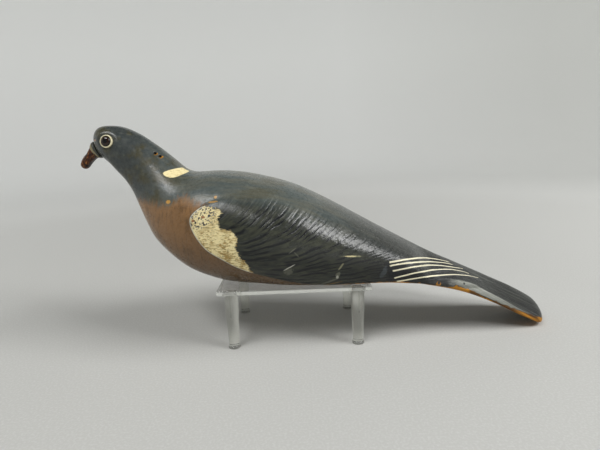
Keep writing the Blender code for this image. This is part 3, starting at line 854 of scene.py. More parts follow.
class PaintLayers:
    """The carving's coats of paint, in the order in which they were brushed on.

    A pattern runs from 0 to 1 and lies mostly between 0.3 and 0.7. The two numbers after one in a band
    say how much of it shows and how soft its edge is.
    """

    def __init__(self, recipe: Recipe, finish: CarvingPaint) -> None:
        """Read what the skin carries: its own coordinates and the distances to painted edges.

        Args:
            recipe: The material that is being written.
            finish: Its colours, sizes and gloss.
        """
        self.r, self.f, self.here = recipe, finish, recipe.here
        put = recipe.put
        self.x, _, self.z = put("SeparateXYZ", (self.here,)).node.outputs
        _, self.girth, self.up = recipe.layer("flow")
        self.inside, self.below_top, _ = recipe.layer("wing")
        self.across, self.level, self.run = recipe.layer("lay")
        self.arris = put("Attribute", out="Fac", attribute_name="arris")
        self.hairs = recipe.drawn(finish.hairs, 3.0, 0.6)
        self.streaks = recipe.drawn(finish.streaks, 4.0, 0.55)
        self.mottle = put("TexNoise", {"Vector": self.here, "Scale": cells(finish.mottle), "Detail": 4.0,
                                       "Roughness": 0.6})
        self.dabs = put("TexNoise", {"Vector": self.here, "Scale": cells(finish.dabs), "Detail": 3.0,
                                     "Roughness": 0.55})
        self.colour: Tone = finish.slate
        self.height: Mask = 0.0
        self.wax: Mask = finish.wax
        self.gloss = put("MapRange", (self.dabs, 0.3, 0.7, finish.roughness - 0.06, finish.roughness + 0.12))

    def band(self, value: Socket, low: float, high: float, start: float = 0.0, end: float = 1.0) -> Socket:
        """Change smoothly from start to end as a number passes from low to high."""
        return self.r.put("MapRange", (value, low, high, start, end), interpolation_type="SMOOTHSTEP")

    def shifted(self, value: Socket, by: Socket, amount: float) -> Socket:
        """Move an edge in and out by a pattern."""
        move = self.r.put("Math", (by, -0.5), operation="ADD")
        return self.r.put("Math", (move, 2 * amount, value), operation="MULTIPLY_ADD")

    def times(self, *masks: Mask) -> Socket:
        """Keep what lies within all of these masks.

        Args:
            *masks: The masks.

        Returns:
            Their product.
        """
        product = masks[0]
        for mask in masks[1:]:
            product = self.r.put("Math", (product, mask), operation="MULTIPLY")
        return product

    def strongest(self, patterns: Sequence[Socket]) -> Socket:
        """Keep the highest of a few patterns.

        Args:
            patterns: The patterns.

        Returns:
            The highest at each place.
        """
        top = patterns[0]
        for pattern in patterns[1:]:
            top = self.r.put("Math", (top, pattern), operation="MAXIMUM")
        return top

    def lay(self, *coats: tuple[Mask, Tone]) -> None:
        """Brush colours over the paint so far, each where its mask is 1."""
        self.colour = self.r.over(self.colour, *coats)

    def mark(self, mark: Mark, *masks: Socket) -> None:
        """Lay a small mark over the paint, where these masks leave it."""
        self.lay((self.times(self.r.blot(mark), *masks), getattr(self.f, mark.colour)))

    def raised(self, mask: Socket, amount: Mask) -> None:
        """Add to the surface's height, in millimetres."""
        self.height = self.r.put("Math", (mask, amount, self.height), operation="MULTIPLY_ADD")

    def polished(self, mask: Socket, roughness: Mask | None = None,
                 wax: Mask | None = None) -> None:
        """Change the gloss where a mask is 1.

        Args:
            mask: Where it changes.
            roughness: The paint's roughness there, or None to leave it.
            wax: How much the wax shines there, or None to leave it.
        """
        if roughness is not None:
            self.gloss = self.r.put("Mix", {0: mask, NUMBER_A: self.gloss, NUMBER_B: roughness},
                                    data_type="FLOAT")
        if wax is not None:
            self.wax = self.r.put("Mix", {0: mask, NUMBER_A: self.wax, NUMBER_B: wax}, data_type="FLOAT")

    def back(self) -> None:
        """Slate grey: cool and warm streaks, olive on the ridge and the nape, darker to the rear."""
        f, put = self.f, self.r.put
        ridge = put("MapRange", (self.up, 2.0, 22.0, 0.8, 0.0))
        # Away from the ridge the neck's sides are painted darker: partly their own slate, partly painted
        # shade.
        side = self.band(self.shifted(self.girth, self.streaks, 9.0), 7.0, 20.0)
        neck = self.band(self.x, -0.088, -0.118, 0.0, 0.85)
        nape = put("MapRange", (self.girth, 20.0, 6.0, 0.0, 0.8))
        self.lay((self.band(self.streaks, 0.38, 0.62), f.slate_cool),
                 (self.times(ridge, self.band(self.mottle, 0.42, 0.66)), f.slate_olive),
                 (self.band(self.x, -0.100, -0.150, 0.0, 0.9), f.crown),
                 (self.times(side, neck), f.throat_and_shade),
                 (self.times(nape, neck, self.band(self.mottle, 0.45, 0.62)), f.slate_olive),
                 (self.band(self.dabs, 0.52, 0.72, 0.0, 0.22), f.slate_pale))
        for mark in BACK_MARKS:
            self.mark(mark, self.band(self.hairs, 0.35, 0.6))
        rear = self.band(self.shifted(self.x, self.mottle, 0.02), -0.02, 0.055, 0.0, 0.9)
        self.lay((rear, f.tail_top))
        for pattern, relief in ((self.hairs, f.hair_relief), (self.dabs, f.dab_relief),
                                (self.mottle, f.mottle_relief)):
            self.raised(pattern, relief)

    def breast(self) -> None:
        """Pinkish brown, feathered upwards into the slate with a dry brush."""
        r, f, put = self.r, self.f, self.r.put
        edge = put("Attribute", out="Fac", attribute_name="breast")
        ticks = put("Mapping", {"Vector": self.here, "Scale": [cells(size) for size in f.dry_brush]})
        dry = put("TexNoise", {"Vector": ticks, "Scale": 1.0, "Detail": 2.0})
        mask = self.band(self.shifted(self.shifted(edge, dry, 7.0), self.mottle, 4.0), -3.5, 4.5)
        # Towards the bottom, where it turns under, the breast is painted darker: painted shade.
        self.lay((mask, r.over(f.breast,
                               (put("MapRange", (self.z, 0.125, 0.060, 0.0, 0.85)), f.breast_dark),
                               (self.band(self.mottle, 0.50, 0.75, 0.0, 0.50), f.breast_dark),
                               (self.band(dry, 0.50, 0.68, 0.0, 0.45), f.breast_dark),
                               (self.band(self.hairs, 0.55, 0.75, 0.0, 0.25), f.breast_pale))))

    def stroke_row(self, row: int) -> tuple[Socket, Socket]:
        """One row of the wing's strokes, with the finer combing that lies the same way.

        Args:
            row: The row's number, upwards.

        Returns:
            The strokes' mask and the combing's pattern.
        """
        put, middle = self.r.put, STROKE_LEVELS[row]
        pitch = stroke_pitch(middle)
        # Each stroke wanders by up to the gap between two, and breaks off where its number says.
        wander = put("TexNoise", {"Vector": self.here, "Scale": cells(WANDER_MM[row]), "Detail": 1.0})
        count = put("Math", (self.across, pitch / STROKE_GAP_MM, wander), operation="MULTIPLY_ADD")
        seed = put("CombineXYZ", (put("Math", (count,), operation="FLOOR"), self.run, 17.0 * row))
        spread = put("Mapping", {"Vector": seed, "Scale": (3.71, 1 / STROKE_LENGTH_MM, 1.0)})
        chance = put("TexNoise", {"Vector": spread, "Scale": 1.0, "Detail": 0.0})
        off_line = put("Math", (put("Math", (count,), operation="FRACT"), 0.5), operation="SUBTRACT")
        thin = self.band(put("Math", (off_line,), operation="ABSOLUTE"), 0.09, 0.30, 1.0, 0.0)
        off_row = put("Math", (self.level, middle), operation="SUBTRACT")
        share = self.band(put("Math", (off_row,), operation="ABSOLUTE"), 0.13, 0.26, 1.0, 0.0)
        fine = put("Mapping", {"Vector": put("CombineXYZ", (self.across, self.run, 3.0 * row)),
                               "Scale": (pitch / COMB_MM[1], 1 / COMB_MM[0], 1.0)})
        comb = put("TexNoise", {"Vector": fine, "Scale": 1.0, "Detail": 3.0, "Roughness": 0.6})
        return self.times(thin, self.band(chance, 0.40, 0.52), share), self.times(comb, share)

    def wing(self) -> None:
        """Charcoal over a carved, slightly raised wing, in curved overlapping strokes."""
        r, f, put = self.r, self.f, self.r.put
        rows = [self.stroke_row(row) for row in range(len(STROKE_LEVELS))]
        strokes, comb = (self.strongest(patterns) for patterns in zip(*rows))
        body = self.band(self.shifted(self.inside, self.hairs, 0.15), -0.25, 0.25)
        painted = self.times(body, self.band(self.shifted(self.below_top, comb, 9.0), -2.0, 13.0))
        pale = self.times(self.band(comb, 0.52, 0.68), self.band(self.level, -0.1, 0.8, 0.0, 0.6))
        self.lay((painted, r.over(f.charcoal, (self.band(comb, 0.35, 0.6), f.charcoal_cool),
                                  (pale, f.charcoal_pale), (self.band(self.x, 0.0, 0.07, 0.0, 0.6), f.ink),
                                  (strokes, f.ink))))
        # The front of the wing was painted smoother than the rest.
        deep = put("MapRange", (self.x, -0.070, -0.020, 0.25, 1.0))
        self.raised(self.times(body, strokes, deep), f.stroke_relief)
        self.raised(self.times(body, comb), put("MapRange", (self.x, -0.075, -0.010, 0.10, 0.42)))
        self.raised(self.times(body, self.dabs), self.band(self.x, -0.03, 0.03, 0.0, 0.30))
        # Handling has buffed the wing's high side, behind the shoulder; the rest has stayed duller.
        handled = self.times(self.band(self.level, 0.30, 0.66), self.band(self.x, -0.070, -0.022))
        buffed = put("MapRange", (self.dabs, 0.35, 0.65, f.roughness - 0.09, f.roughness + 0.04))
        buffed = put("Mix", {0: handled, NUMBER_A: f.roughness + 0.08, NUMBER_B: buffed}, data_type="FLOAT")
        self.polished(painted, buffed, put("MapRange", (handled, 0.0, 1.0, 0.05, 1.0)))

    def tail(self) -> None:
        """A dark flat top, planed in shallow grooves, and a paler, crisp-edged bevel down each side."""
        f, put = self.f, self.r.put
        side = put("Attribute", out="Fac", attribute_name="bevelled")
        grooves = self.r.drawn(f.grooves, 2.0, 0.5)
        dark = self.times(self.band(self.shifted(self.x, self.streaks, 0.014), 0.104, 0.128),
                          self.band(self.streaks, 0.2, 0.45))
        tip = self.band(self.shifted(self.x, self.streaks, 0.02), 0.125, 0.165, 0.0, 0.8)
        streaky = put("MapRange", (self.hairs, 0.35, 0.75, 1.0, 0.7))
        ragged = self.shifted(self.arris, self.hairs, 3.0)
        # The bevel's pale is partly paint and partly a painted highlight: strongest near its front and top,
        # fading towards the tail's end and the arris.
        pale = self.times(side, self.band(self.shifted(self.x, self.mottle, 0.01), 0.100, 0.112),
                          put("MapRange", (self.x, 0.118, 0.178, 1.0, 0.6)),
                          put("MapRange", (ragged, 0.0, 5.0, 0.6, 1.0)))
        self.lay((self.times(dark, streaky), f.tail_top),
                 (self.times(tip, streaky), f.tail_tip),
                 # Towards its lower edge the tip is darker still.
                 (self.times(tip, put("MapRange", (ragged, 14.0, 22.0, 0.9, 0.15))), f.tail_tip),
                 (self.times(pale, put("MapRange", (self.hairs, 0.35, 0.7, 0.75, 1.0))), f.tail_side_and_highlight),
                 # Lighter streaks along the grooves: partly the paint's own streaks, partly painted
                 # highlight.
                 (self.times(dark, self.band(grooves, 0.5, 0.7, 0.0, 0.28)), f.slate_pale))
        self.raised(self.times(dark, grooves), f.groove_relief)
        self.polished(dark, put("MapRange", (self.hairs, 0.35, 0.7, f.roughness + 0.20, f.roughness - 0.08)))
        self.polished(pale, f.roughness - 0.10)
        self.polished(tip, wax=0.0)

    def patches(self) -> None:
        """The cream wing patch, stippled and ragged, and the plain cream patch on the neck."""
        r, f, put = self.r, self.f, self.r.put
        feather, neck, _ = r.layer("patch")
        # A stiff brush left short strokes, nearly level, with finer flecks among them.
        strokes = put("Mapping", {"Vector": self.here, "Rotation": (0.0, 0.35, 0.0),
                                  "Scale": [cells(size) for size in f.stipple]})
        dab = put("TexNoise", {"Vector": strokes, "Scale": 1.0, "Detail": 3.0, "Roughness": 0.65})
        fleck = put("TexNoise", {"Vector": strokes, "Scale": 1.7, "Detail": 2.0})
        grime = put("TexNoise", {"Vector": self.here, "Scale": cells(f.grime), "Detail": 3.0})
        spots = put("TexNoise", {"Vector": self.here, "Scale": cells(f.spots), "Detail": 1.0})
        edge = self.shifted(self.shifted(feather, dab, 4.5), self.mottle, 3.0)
        mask = self.times(self.band(edge, -0.25, 0.25), self.band(self.inside, 0.0, 0.5))
        # The dark cream grows stronger towards the patch's bottom.
        lower_part = put("MapRange", (self.z, 0.090, 0.110, 0.95, 0.30))
        corner = r.blot(PATCH_CORNER)
        tone = r.over(
            f.cream,
            (self.times(self.band(self.shifted(dab, grime, 0.25), 0.46, 0.60), lower_part), f.cream_dark),
            (self.band(self.shifted(fleck, grime, 0.16), 0.57, 0.66, 0.0, 0.85), f.olive_fleck),
            (self.times(self.band(self.shifted(grime, dab, 0.2), 0.5, 0.68), lower_part, 0.5), f.cream_dark),
            (self.times(corner, self.band(spots, 0.54, 0.60)), f.navy),
            (self.times(corner, self.band(fleck, 0.60, 0.66)), f.grey_fleck),
            *((r.blot(spot), f.rust) for spot in RUST_SPOTS),
            (put("MapRange", (self.shifted(self.inside, dab, 0.9), 0.5, 1.5, 0.9, 0.0)), f.rim_white))
        plain = self.band(self.shifted(neck, self.hairs, 0.35), -0.15, 0.2)
        self.lay((mask, tone),
                 (plain, r.over(f.cream, (self.band(dab, 0.5, 0.65, 0.0, 0.5), f.cream_dark))))
        self.raised(mask, f.coat_relief)
        self.raised(self.times(mask, dab), f.stipple_relief)
        self.raised(plain, f.coat_relief)
        self.polished(self.strongest((mask, plain)), f.cream_roughness, 0.0)

    def quills(self) -> None:
        """Five long feathers: black, each with a thin cream upper edge."""
        f, put = self.f, self.r.put
        number, share, spacing = self.r.layer("quill")
        off = put("Math", (number, put("Math", (number,), operation="ROUND")), operation="SUBTRACT")
        gap = self.times(put("Math", (off,), operation="ABSOLUTE"), spacing)
        half = put("MapRange", (share, 0.0, 1.0, *QUILL_HALF_MM))
        inner = put("Math", (half, gap), operation="SUBTRACT")
        white = self.times(self.band(self.shifted(inner, self.mottle, 0.12), -0.10, 0.12),
                           self.band(number, 0.6, 0.8), put("MapRange", (number, 5.2, 5.4, 1.0, 0.0)),
                           self.band(share, -0.005, 0.012), put("MapRange", (share, 0.985, 1.0, 1.0, 0.0)))
        last = self.shifted(number, self.mottle, 0.3)
        ground = self.times(self.band(self.shifted(share, self.hairs, 0.03), -0.09, -0.03),
                            put("MapRange", (share, 1.0, 1.06, 1.0, 0.0)), self.band(number, 0.45, 0.85),
                            put("MapRange", (last, 5.35, 5.9, 1.0, 0.0)))
        self.lay((self.times(ground, 0.93), f.ink), (white, f.quill_white))
        self.raised(white, f.quill_relief)
        self.polished(ground, f.ink_roughness)

    def wear(self) -> None:
        """Bare wood along the lower arris and the tail, and the scuffs, chips and holes."""
        r, f, put = self.r, self.f, self.r.put
        ragged = self.shifted(self.shifted(self.arris, self.mottle, 1.5), self.dabs, 1.6)
        bare = self.band(ragged, 0.0, 0.35, 1.0, 0.0)
        grimy = put("MapRange", (ragged, 0.3, 0.9, 0.75, 0.0))
        self.lay((self.times(grimy, self.band(self.x, 0.096, 0.106)), f.wood_dark))
        dirty = [self.band(self.streaks, 0.45, 0.7), self.band(self.hairs, 0.5, 0.7, 0.0, 0.6)]
        place = self.shifted(self.x, self.hairs, 0.004)
        dirty += [self.times(self.band(place, start, start + 0.003),
                             put("MapRange", (place, end, end + 0.004, 0.85, 0.0)))
                  for start, end in GRIMY_STRETCHES]
        self.lay((bare, r.over(f.wood, *((mask, f.wood_dark) for mask in dirty))))
        self.raised(bare, f.bare_relief)
        self.polished(bare, f.wood_roughness, 0.0)
        for mark in WEAR_MARKS:
            self.mark(mark)

    def done(self) -> Paint:
        """Join the coats in the shader."""
        return self.r.finish(self.height, Base_Color=self.colour, Roughness=self.gloss, IOR=self.f.ior,
                             Coat_Weight=self.wax, Coat_Roughness=self.f.wax_roughness,
                             Coat_IOR=self.f.wax_ior)


@dataclass
class PaintedCarving:
    """The carving's skin: one closed form from the face to the tail's rounded end.

    Sizes are in millimetres, and shares go from the ridge of the back to the middle of the sole.
    """

    steps: tuple[int, int, int] = (12, 13, 5)
    rib_spans: int = 4
    tip_steps: int = 8
    tip_run: float = 15.8
    tip_heading: float = math.radians(-30)
    tip_focus: float = 0.22
    wing_relief: float = 1.1
    shoulder: float = 7.0                # half the width of the wing's carved shoulder
    hand_cut: float = 0.16               # how far the gouge left the form uneven
    gouge_cells: tuple[float, float] = (42.0, 130.0)      # its broad and short marks, for each metre
    sole: float = 0.80                   # the share from which the sole is smoother
    sole_cut: float = 0.3
    brow_radius: float = 8.4
    brow_width: float = 1.7
    brow_height: float = 0.45
    brow_below: float = 0.25             # how much of the brow goes on below the eye
    socket_radius: float = 5.3
    socket_depth: float = 0.35
    socket_edge: float = 1.4
    hole_radius: float = 1.05
    hole_depth: float = 2.2
    chips: tuple[tuple[float, float, float, float], ...] = (      # x, y, z and radius
        (-177.9, -11.0, 117.0, 1.1), (-117.3, -34.0, 68.3, 1.7), (-79.3, -43.1, 71.6, 1.2),
        (90.6, -36.0, -4.2, 1.3))
    chip_depth: float = 0.25
    pit_edge: float = 0.5                # half the width of a hole's or a chip's edge
    quill_margin: float = 3.0            # how far the first and last quills spread outwards
    seam_share: float = 0.97             # the share beyond which a point lies on the keel's seam
    finish: CarvingPaint = CarvingPaint()

    def build(self) -> Piece:
        """Make the skin, carve it, lay out its paint and dress it.

        Returns:
            The finished skin.
        """
        skin = self.cage()
        self.open_mesh_at_holes(skin)
        self.carve(skin)
        self.lay_out_paint(skin)
        self.unwrap(skin)
        dress(skin, self.finish.make())
        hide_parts("head", "neck", "trunk", "tail", "wing_left", "wing_right")
        return skin

    def cage(self) -> Piece:
        """Loft the form and round it with a subdivision surface.

        Returns:
            The uncarved skin.
        """
        ribs = smooth_ribs(BODY_RIBS, self.rib_spans)
        ribs += rounded_end(ribs[-1], self.tip_run, self.tip_heading, self.tip_focus, self.tip_steps)
        skin = ring_loft("decoy_carving", ribs, self.steps)
        apply_modifier(skin, "SUBSURF", levels=2, render_levels=2)
        return skin

    def plan_of(self, skin: Piece) -> np.ndarray:
        """Every vertex on the lines plan, as rows of x, y and z in millimetres."""
        return points_of(skin) / MM + (PLAN_MIDDLE_MM, 0.0, -SOLE_HEIGHT / MM)

    def open_mesh_at_holes(self, skin: Piece) -> None:
        """Subdivide the faces round the neck's two holes, so that they can be drilled.

        Args:
            skin: The skin.
        """
        select_only(skin)
        bpy.ops.object.mode_set(mode="EDIT")
        bpy.ops.mesh.select_all(action="DESELECT")
        mesh = bmesh.from_edit_mesh(skin.data)
        centres = [placed(*hole) for hole in NECK_HOLES]
        for face in mesh.faces:
            middle = face.calc_center_median()
            face.select_set(any((middle - c).length < 3 * self.hole_radius * MM for c in centres))
        bpy.ops.mesh.subdivide(number_cuts=2)
        bpy.ops.object.mode_set(mode="OBJECT")

    def carve(self, skin: Piece) -> None:
        """Push the skin's points in and out: gouge marks, wings, brows, sockets, holes and chips.

        Args:
            skin: The skin.
        """
        plan, points, normals = self.plan_of(skin), points_of(skin), normals_of(skin)
        x, y, z = plan.T
        around = np.abs(read_layer(skin, "around"))
        broad, short = (unevenness(points, scale) for scale in self.gouge_cells)
        depth = (broad + 0.5 * short) * self.hand_cut * np.where(around > self.sole, self.sole_cut, 1.0)
        inside = outline_distance(curved(WING_OUTLINE, closed=True), x, z)
        below_shoulder = -edge_distance(curved(WING_SHOULDER), x, z)
        depth += (self.wing_relief * eased(-0.3, 1.3, inside) * eased(0.86, 0.78, around)
                  * eased(-self.shoulder, self.shoulder, below_shoulder))
        reach = np.linalg.norm(np.column_stack([x, np.abs(y), z]) - EYE_CENTRE_MM, axis=1)
        above = self.brow_below + (1 - self.brow_below) * eased(-4, 6, z - EYE_CENTRE_MM[2])
        depth += self.brow_height * np.exp(-((reach - self.brow_radius) / self.brow_width) ** 2) * above
        depth -= self.socket_depth * eased(self.socket_radius + self.socket_edge, self.socket_radius, reach)
        pits = [(*hole, self.hole_radius, self.hole_depth) for hole in NECK_HOLES]
        pits += [(*chip, self.chip_depth) for chip in self.chips]
        for *centre, radius, deep in pits:
            reach = np.linalg.norm(plan - centre, axis=1)
            depth -= deep * eased(radius + self.pit_edge, radius - self.pit_edge, reach)
        move_points(skin, points + normals * (depth * MM)[:, None])

    def lay_out_paint(self, skin: Piece) -> None:
        """Give each vertex its distances to the edges between one paint and the next.

        Args:
            skin: The skin.
        """
        x, _, z = self.plan_of(skin).T
        along, girth, up, around = (read_layer(skin, key) for key in ("along", "girth", "up", "around"))
        write_flow(skin)
        inside = outline_distance(curved(WING_OUTLINE, closed=True), x, z)
        write_layer(skin, "wing", inside, -edge_distance(curved(WING_TOP_EDGE), x, z), up)
        bottom = between(x, WING_BOTTOM)
        level = (z - bottom) / np.clip(between(x, WING_TOP_EDGE) - bottom, 8, None)
        base, taper, curl = STROKE_LEAN
        root = math.sqrt(4 * base * curl - taper**2)
        curve = 2 / root * np.arctan((2 * curl * np.clip(level, -1, 2) + taper) / root)
        write_layer(skin, "lay", x - STROKE_HEIGHT_MM * curve, level, x)
        write_layer(skin, "breast", -edge_distance(curved(BREAST_TOP), x, z))
        feather = -edge_distance(curved(PATCH_FEATHERS), x, z)
        neck = np.minimum(outline_distance(curved(NECK_PATCH, closed=True), x, z), girth - NECK_PATCH_GAP_MM)
        write_layer(skin, "patch", feather, neck, along)
        self.lay_out_quills(skin, x, z)
        share, spans = np.abs(around), sum(self.steps)
        first, last = self.steps[0] / spans, (self.steps[0] + bevel_spans(self.steps[1])) / spans
        write_layer(skin, "bevelled", eased(first - 0.006, first + 0.006, share)
                    * eased(last + 0.03, last - 0.02, share) * eased(88, 100, x))
        below, width = read_layer(skin, "below_arris"), between(x, BARE_WIDTH)
        write_layer(skin, "arris", np.where(below < 0, -below, below * 0.4) - width)

    def lay_out_quills(self, skin: Piece, x: np.ndarray, z: np.ndarray) -> None:
        """Number the long feathers, so that a whole number lies on each white edge.

        Args:
            skin: The skin.
            x: Each vertex's place along the plan.
            z: Its height on the plan.
        """
        below = np.array([-edge_distance(curved(line, 3), x, z) for line in QUILL_EDGES])
        passed, outer, count = (below > 0).sum(axis=0), self.quill_margin, len(QUILL_EDGES)
        number = np.where(passed == 0, 1 + below[0] / outer, count + below[-1] / outer)
        spacing = np.full(len(x), outer)
        for k in range(count - 1):
            gap = np.maximum(below[k] - below[k + 1], 0.3)
            number = np.where(passed == k + 1, k + 1 + below[k] / gap, number)
            spacing = np.where(passed == k + 1, gap, spacing)
        ordinal = np.clip(number, 1, count) - 1
        start, stop = (np.interp(ordinal, range(count), ends) for ends in (QUILL_START, QUILL_STOP))
        steep = np.sqrt(np.clip(1 - normals_of(skin)[:, 2] ** 2, 0.1, 1.0))
        write_layer(skin, "quill", number, (x - start) / (stop - start), spacing / np.sqrt(steep))

    def unwrap(self, skin: Piece) -> None:
        """Lay the skin out flat as one sheet, with its seam along the keel.

        Args:
            skin: The skin.
        """
        along, around, points = read_layer(skin, "along"), read_layer(skin, "around"), points_of(skin)
        longest = along.max()
        sheet = skin.data.uv_layers.new(name="OFBake")
        flat = np.empty((len(skin.data.loops), 2), np.float32)
        for face in skin.data.polygons:
            side = 1.0 if sum(points[v][1] for v in face.vertices) > 0 else -1.0
            for loop, vertex in zip(face.loop_indices, face.vertices):
                share = around[vertex]
                if abs(share) > self.seam_share:
                    share = side * abs(share)
                flat[loop] = 0.005 + 0.99 * along[vertex] / longest, 0.5 + 0.495 * share
        sheet.data.foreach_set("uv", flat.ravel())


# ------------------------------------------------------------------ the bill and its collar

@dataclass(frozen=True)
class BillPaint:
    """Old red-brown oil paint on a carved bill, rubbed to tan streaks on its high places.

    Hard, thin and handled: a dark satin gloss. Sizes are in millimetres.
    """

    dark: str = "#1a0a03"
    red: str = "#5a2207"
    tan: str = "#b27a36"
    # Near-black paint for the bill's underside: painted shade.
    under: str = "#0f0805"
    grain: tuple[float, float] = (4.545, 0.7692)
    mottle: float = 2.381
    grain_relief: float = 0.45
    mottle_relief: float = 0.50
    roughness: float = 0.30

    def make(self) -> Paint:
        """Write the material.

        Returns:
            The material.
        """
        r = Recipe("oil_painted_bill")
        put = r.put
        grain = r.drawn(self.grain, 3.0, 0.6)
        mottle = put("TexNoise", {"Vector": r.here, "Scale": cells(self.mottle), "Detail": 3.0})
        _, _, girth = r.layer("flow")
        high = put("MapRange", (mottle, 0.38, 0.6))
        worn = put("Math", (put("MapRange", (grain, 0.52, 0.62, 0.0, 0.9)), high), operation="MULTIPLY")
        # Away from the ridge the bill darkens to near black underneath: painted shade.
        tone = r.over(self.dark, (put("MapRange", (mottle, 0.4, 0.65)), self.red), (worn, self.tan),
                      (put("MapRange", (girth, 9.0, 13.5, 0.0, 0.85)), self.under))
        height = put("Math", (grain, self.grain_relief), operation="MULTIPLY")
        height = put("Math", (mottle, self.mottle_relief, height), operation="MULTIPLY_ADD")
        return r.finish(height, Base_Color=tone, Roughness=self.roughness, IOR=1.42)


@dataclass(frozen=True)
class CollarPaint:
    """The carving's dark slate oil paint on the bill's collar: duller, and rubbed tan at the front."""

    dark: str = "#434641"
    olive: str = "#4b4a36"
    tan: str = "#958a68"
    mottle: float = 2.0                  # mm
    mottle_relief: float = 0.15
    roughness: float = 0.45

    def make(self) -> Paint:
        """Write the material.

        Returns:
            The material.
        """
        r = Recipe("oil_painted_collar")
        put = r.put
        along, _, _ = r.layer("flow")
        mottle = put("TexNoise", {"Vector": r.here, "Scale": cells(self.mottle), "Detail": 3.0})
        front = put("Math", (mottle, 0.9, along), operation="MULTIPLY_ADD")
        tone = r.over(self.dark, (put("MapRange", (mottle, 0.45, 0.75, 0.0, 0.5)), self.olive),
                      (put("MapRange", (front, 2.7, 3.1, 0.0, 0.9)), self.tan))
        height = put("Math", (mottle, self.mottle_relief), operation="MULTIPLY")
        return r.finish(height, Base_Color=tone, Roughness=self.roughness, IOR=1.5)


@dataclass
class Bill:
    """The hooked wooden bill and the collar that it stands in, in millimetres."""

    steps: tuple[int, int, int] = (6, 6, 2)
    tip_run: float = 4.5
    tip_heading: float = math.radians(-128)
    tip_focus: float = 0.45
    tip_steps: int = 5
    whittled: float = 0.22               # how far the knife left it uneven
    knife_cells: float = 330.0           # the knife's marks, for each metre
    bill_paint: BillPaint = BillPaint()
    collar_paint: CollarPaint = CollarPaint()

    def form(self, name: str, ribs: list[Rib], material: Paint) -> Piece:
        """Loft a small form, whittle it unevenly and dress it.

        Args:
            name: The piece's name.
            ribs: Its ribs.
            material: Its paint.

        Returns:
            The finished piece.
        """
        piece = ring_loft(name, ribs, self.steps)
        apply_modifier(piece, "SUBSURF", levels=2, render_levels=2)
        points, normals = points_of(piece), normals_of(piece)
        cut = unevenness(points, self.knife_cells) * self.whittled * MM
        move_points(piece, points + normals * cut[:, None])
        write_flow(piece)
        dress(piece, material)
        return piece

    def build(self) -> list[Piece]:
        """Make the bill and the collar.

        Returns:
            The two pieces.
        """
        ribs = smooth_ribs(BILL_RIBS, 3)
        ribs += rounded_end(ribs[-1], self.tip_run, self.tip_heading, self.tip_focus, self.tip_steps)
        bill = self.form("decoy_bill", ribs, self.bill_paint.make())
        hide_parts("bill")
        collar = self.form("decoy_bill_collar", smooth_ribs(COLLAR_RIBS, 2), self.collar_paint.make())
        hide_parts("bill_collar")
        return [bill, collar]


# ------------------------------------------------------------------ turned pieces

def turned(name: str, profile: Path, sides: int, closed: bool = False) -> Piece:
    """Turn a profile about Z, ring by ring.

    Args:
        name: The piece's name.
        profile: Radius and height of each ring in metres, from the bottom up.
        sides: How many points a ring has.
        closed: Whether the last ring joins the first, as in a hoop. If not, both ends are capped.

    Returns:
        The piece, which stands on the origin.
    """
    bpy.ops.object.select_all(action="DESELECT")
    radius, height = profile[0]
    bpy.ops.mesh.primitive_circle_add(vertices=sides, radius=radius, location=(0, 0, height),
                                      fill_type="NOTHING" if closed else "NGON")
    piece = added(name)
    bpy.ops.object.mode_set(mode="EDIT")
    bpy.ops.mesh.select_all(action="SELECT")
    for new_radius, new_height in profile[1:]:
        bpy.ops.mesh.extrude_region_move(TRANSFORM_OT_translate={"value": (0, 0, new_height - height)})
        scale = new_radius / radius
        bpy.ops.transform.resize(value=(scale, scale, 1.0))
        radius, height = new_radius, new_height
    if closed:
        mesh = bmesh.from_edit_mesh(piece.data)
        rims = [e for e in mesh.edges if e.is_boundary]
        for edge in mesh.edges:
            edge.select_set(False)
        for edge in rims:
            edge.select_set(True)
        bpy.ops.mesh.bridge_edge_loops()
    bpy.ops.object.mode_set(mode="OBJECT")
    settle(piece)
    face_outwards(piece)
    return piece


@dataclass(frozen=True)
class EyeGlass:
    """A blown glass eye: dark brown behind a clear dome, as glossy as if it were wet."""

    pupil: str = "#050404"
    iris: str = "#2b1408"
    ring: str = "#0c0604"
    roughness: float = 0.06

    def make(self) -> Paint:
        """Write the material, which darkens from the iris to the pupil and to the rim.

        Returns:
            The material.
        """
        r = Recipe("dark_glass_eye")
        reach = r.put("Attribute", out="Fac", attribute_name="reach")
        tone = r.over(self.pupil, (r.put("MapRange", (reach, 1.8, 2.3)), self.iris),
                      (r.put("MapRange", (reach, 3.0, 3.5)), self.ring))
        return r.finish(None, Base_Color=tone, Roughness=self.roughness, IOR=1.52)


@dataclass(frozen=True)
class RimPaint:
    """Thick cream oil paint on the raised rim round an eye: dull, crumbly, brown at its foot."""

    cream: str = "#efe6c2"
    aged: str = "#b7a670"
    brown: str = "#6e5632"
    crumb: float = 1.111                 # mm
    crumb_relief: float = 0.12
    roughness: float = 0.5

    def make(self) -> Paint:
        """Write the material.

        Returns:
            The material.
        """
        r = Recipe("oil_painted_eye_rim")
        put = r.put
        reach = put("Attribute", out="Fac", attribute_name="reach")
        crumbs = put("TexNoise", {"Vector": r.here, "Scale": cells(self.crumb), "Detail": 3.0})
        uneven = put("Math", (crumbs, 0.5, reach), operation="MULTIPLY_ADD")
        tone = r.over(self.cream, (put("MapRange", (crumbs, 0.55, 0.75, 0.0, 0.6)), self.aged),
                      (put("MapRange", (uneven, 4.42, 4.62, 0.95, 0.0)), self.brown))
        height = put("Math", (crumbs, self.crumb_relief), operation="MULTIPLY")
        return r.finish(height, Base_Color=tone, Roughness=self.roughness, IOR=1.5)


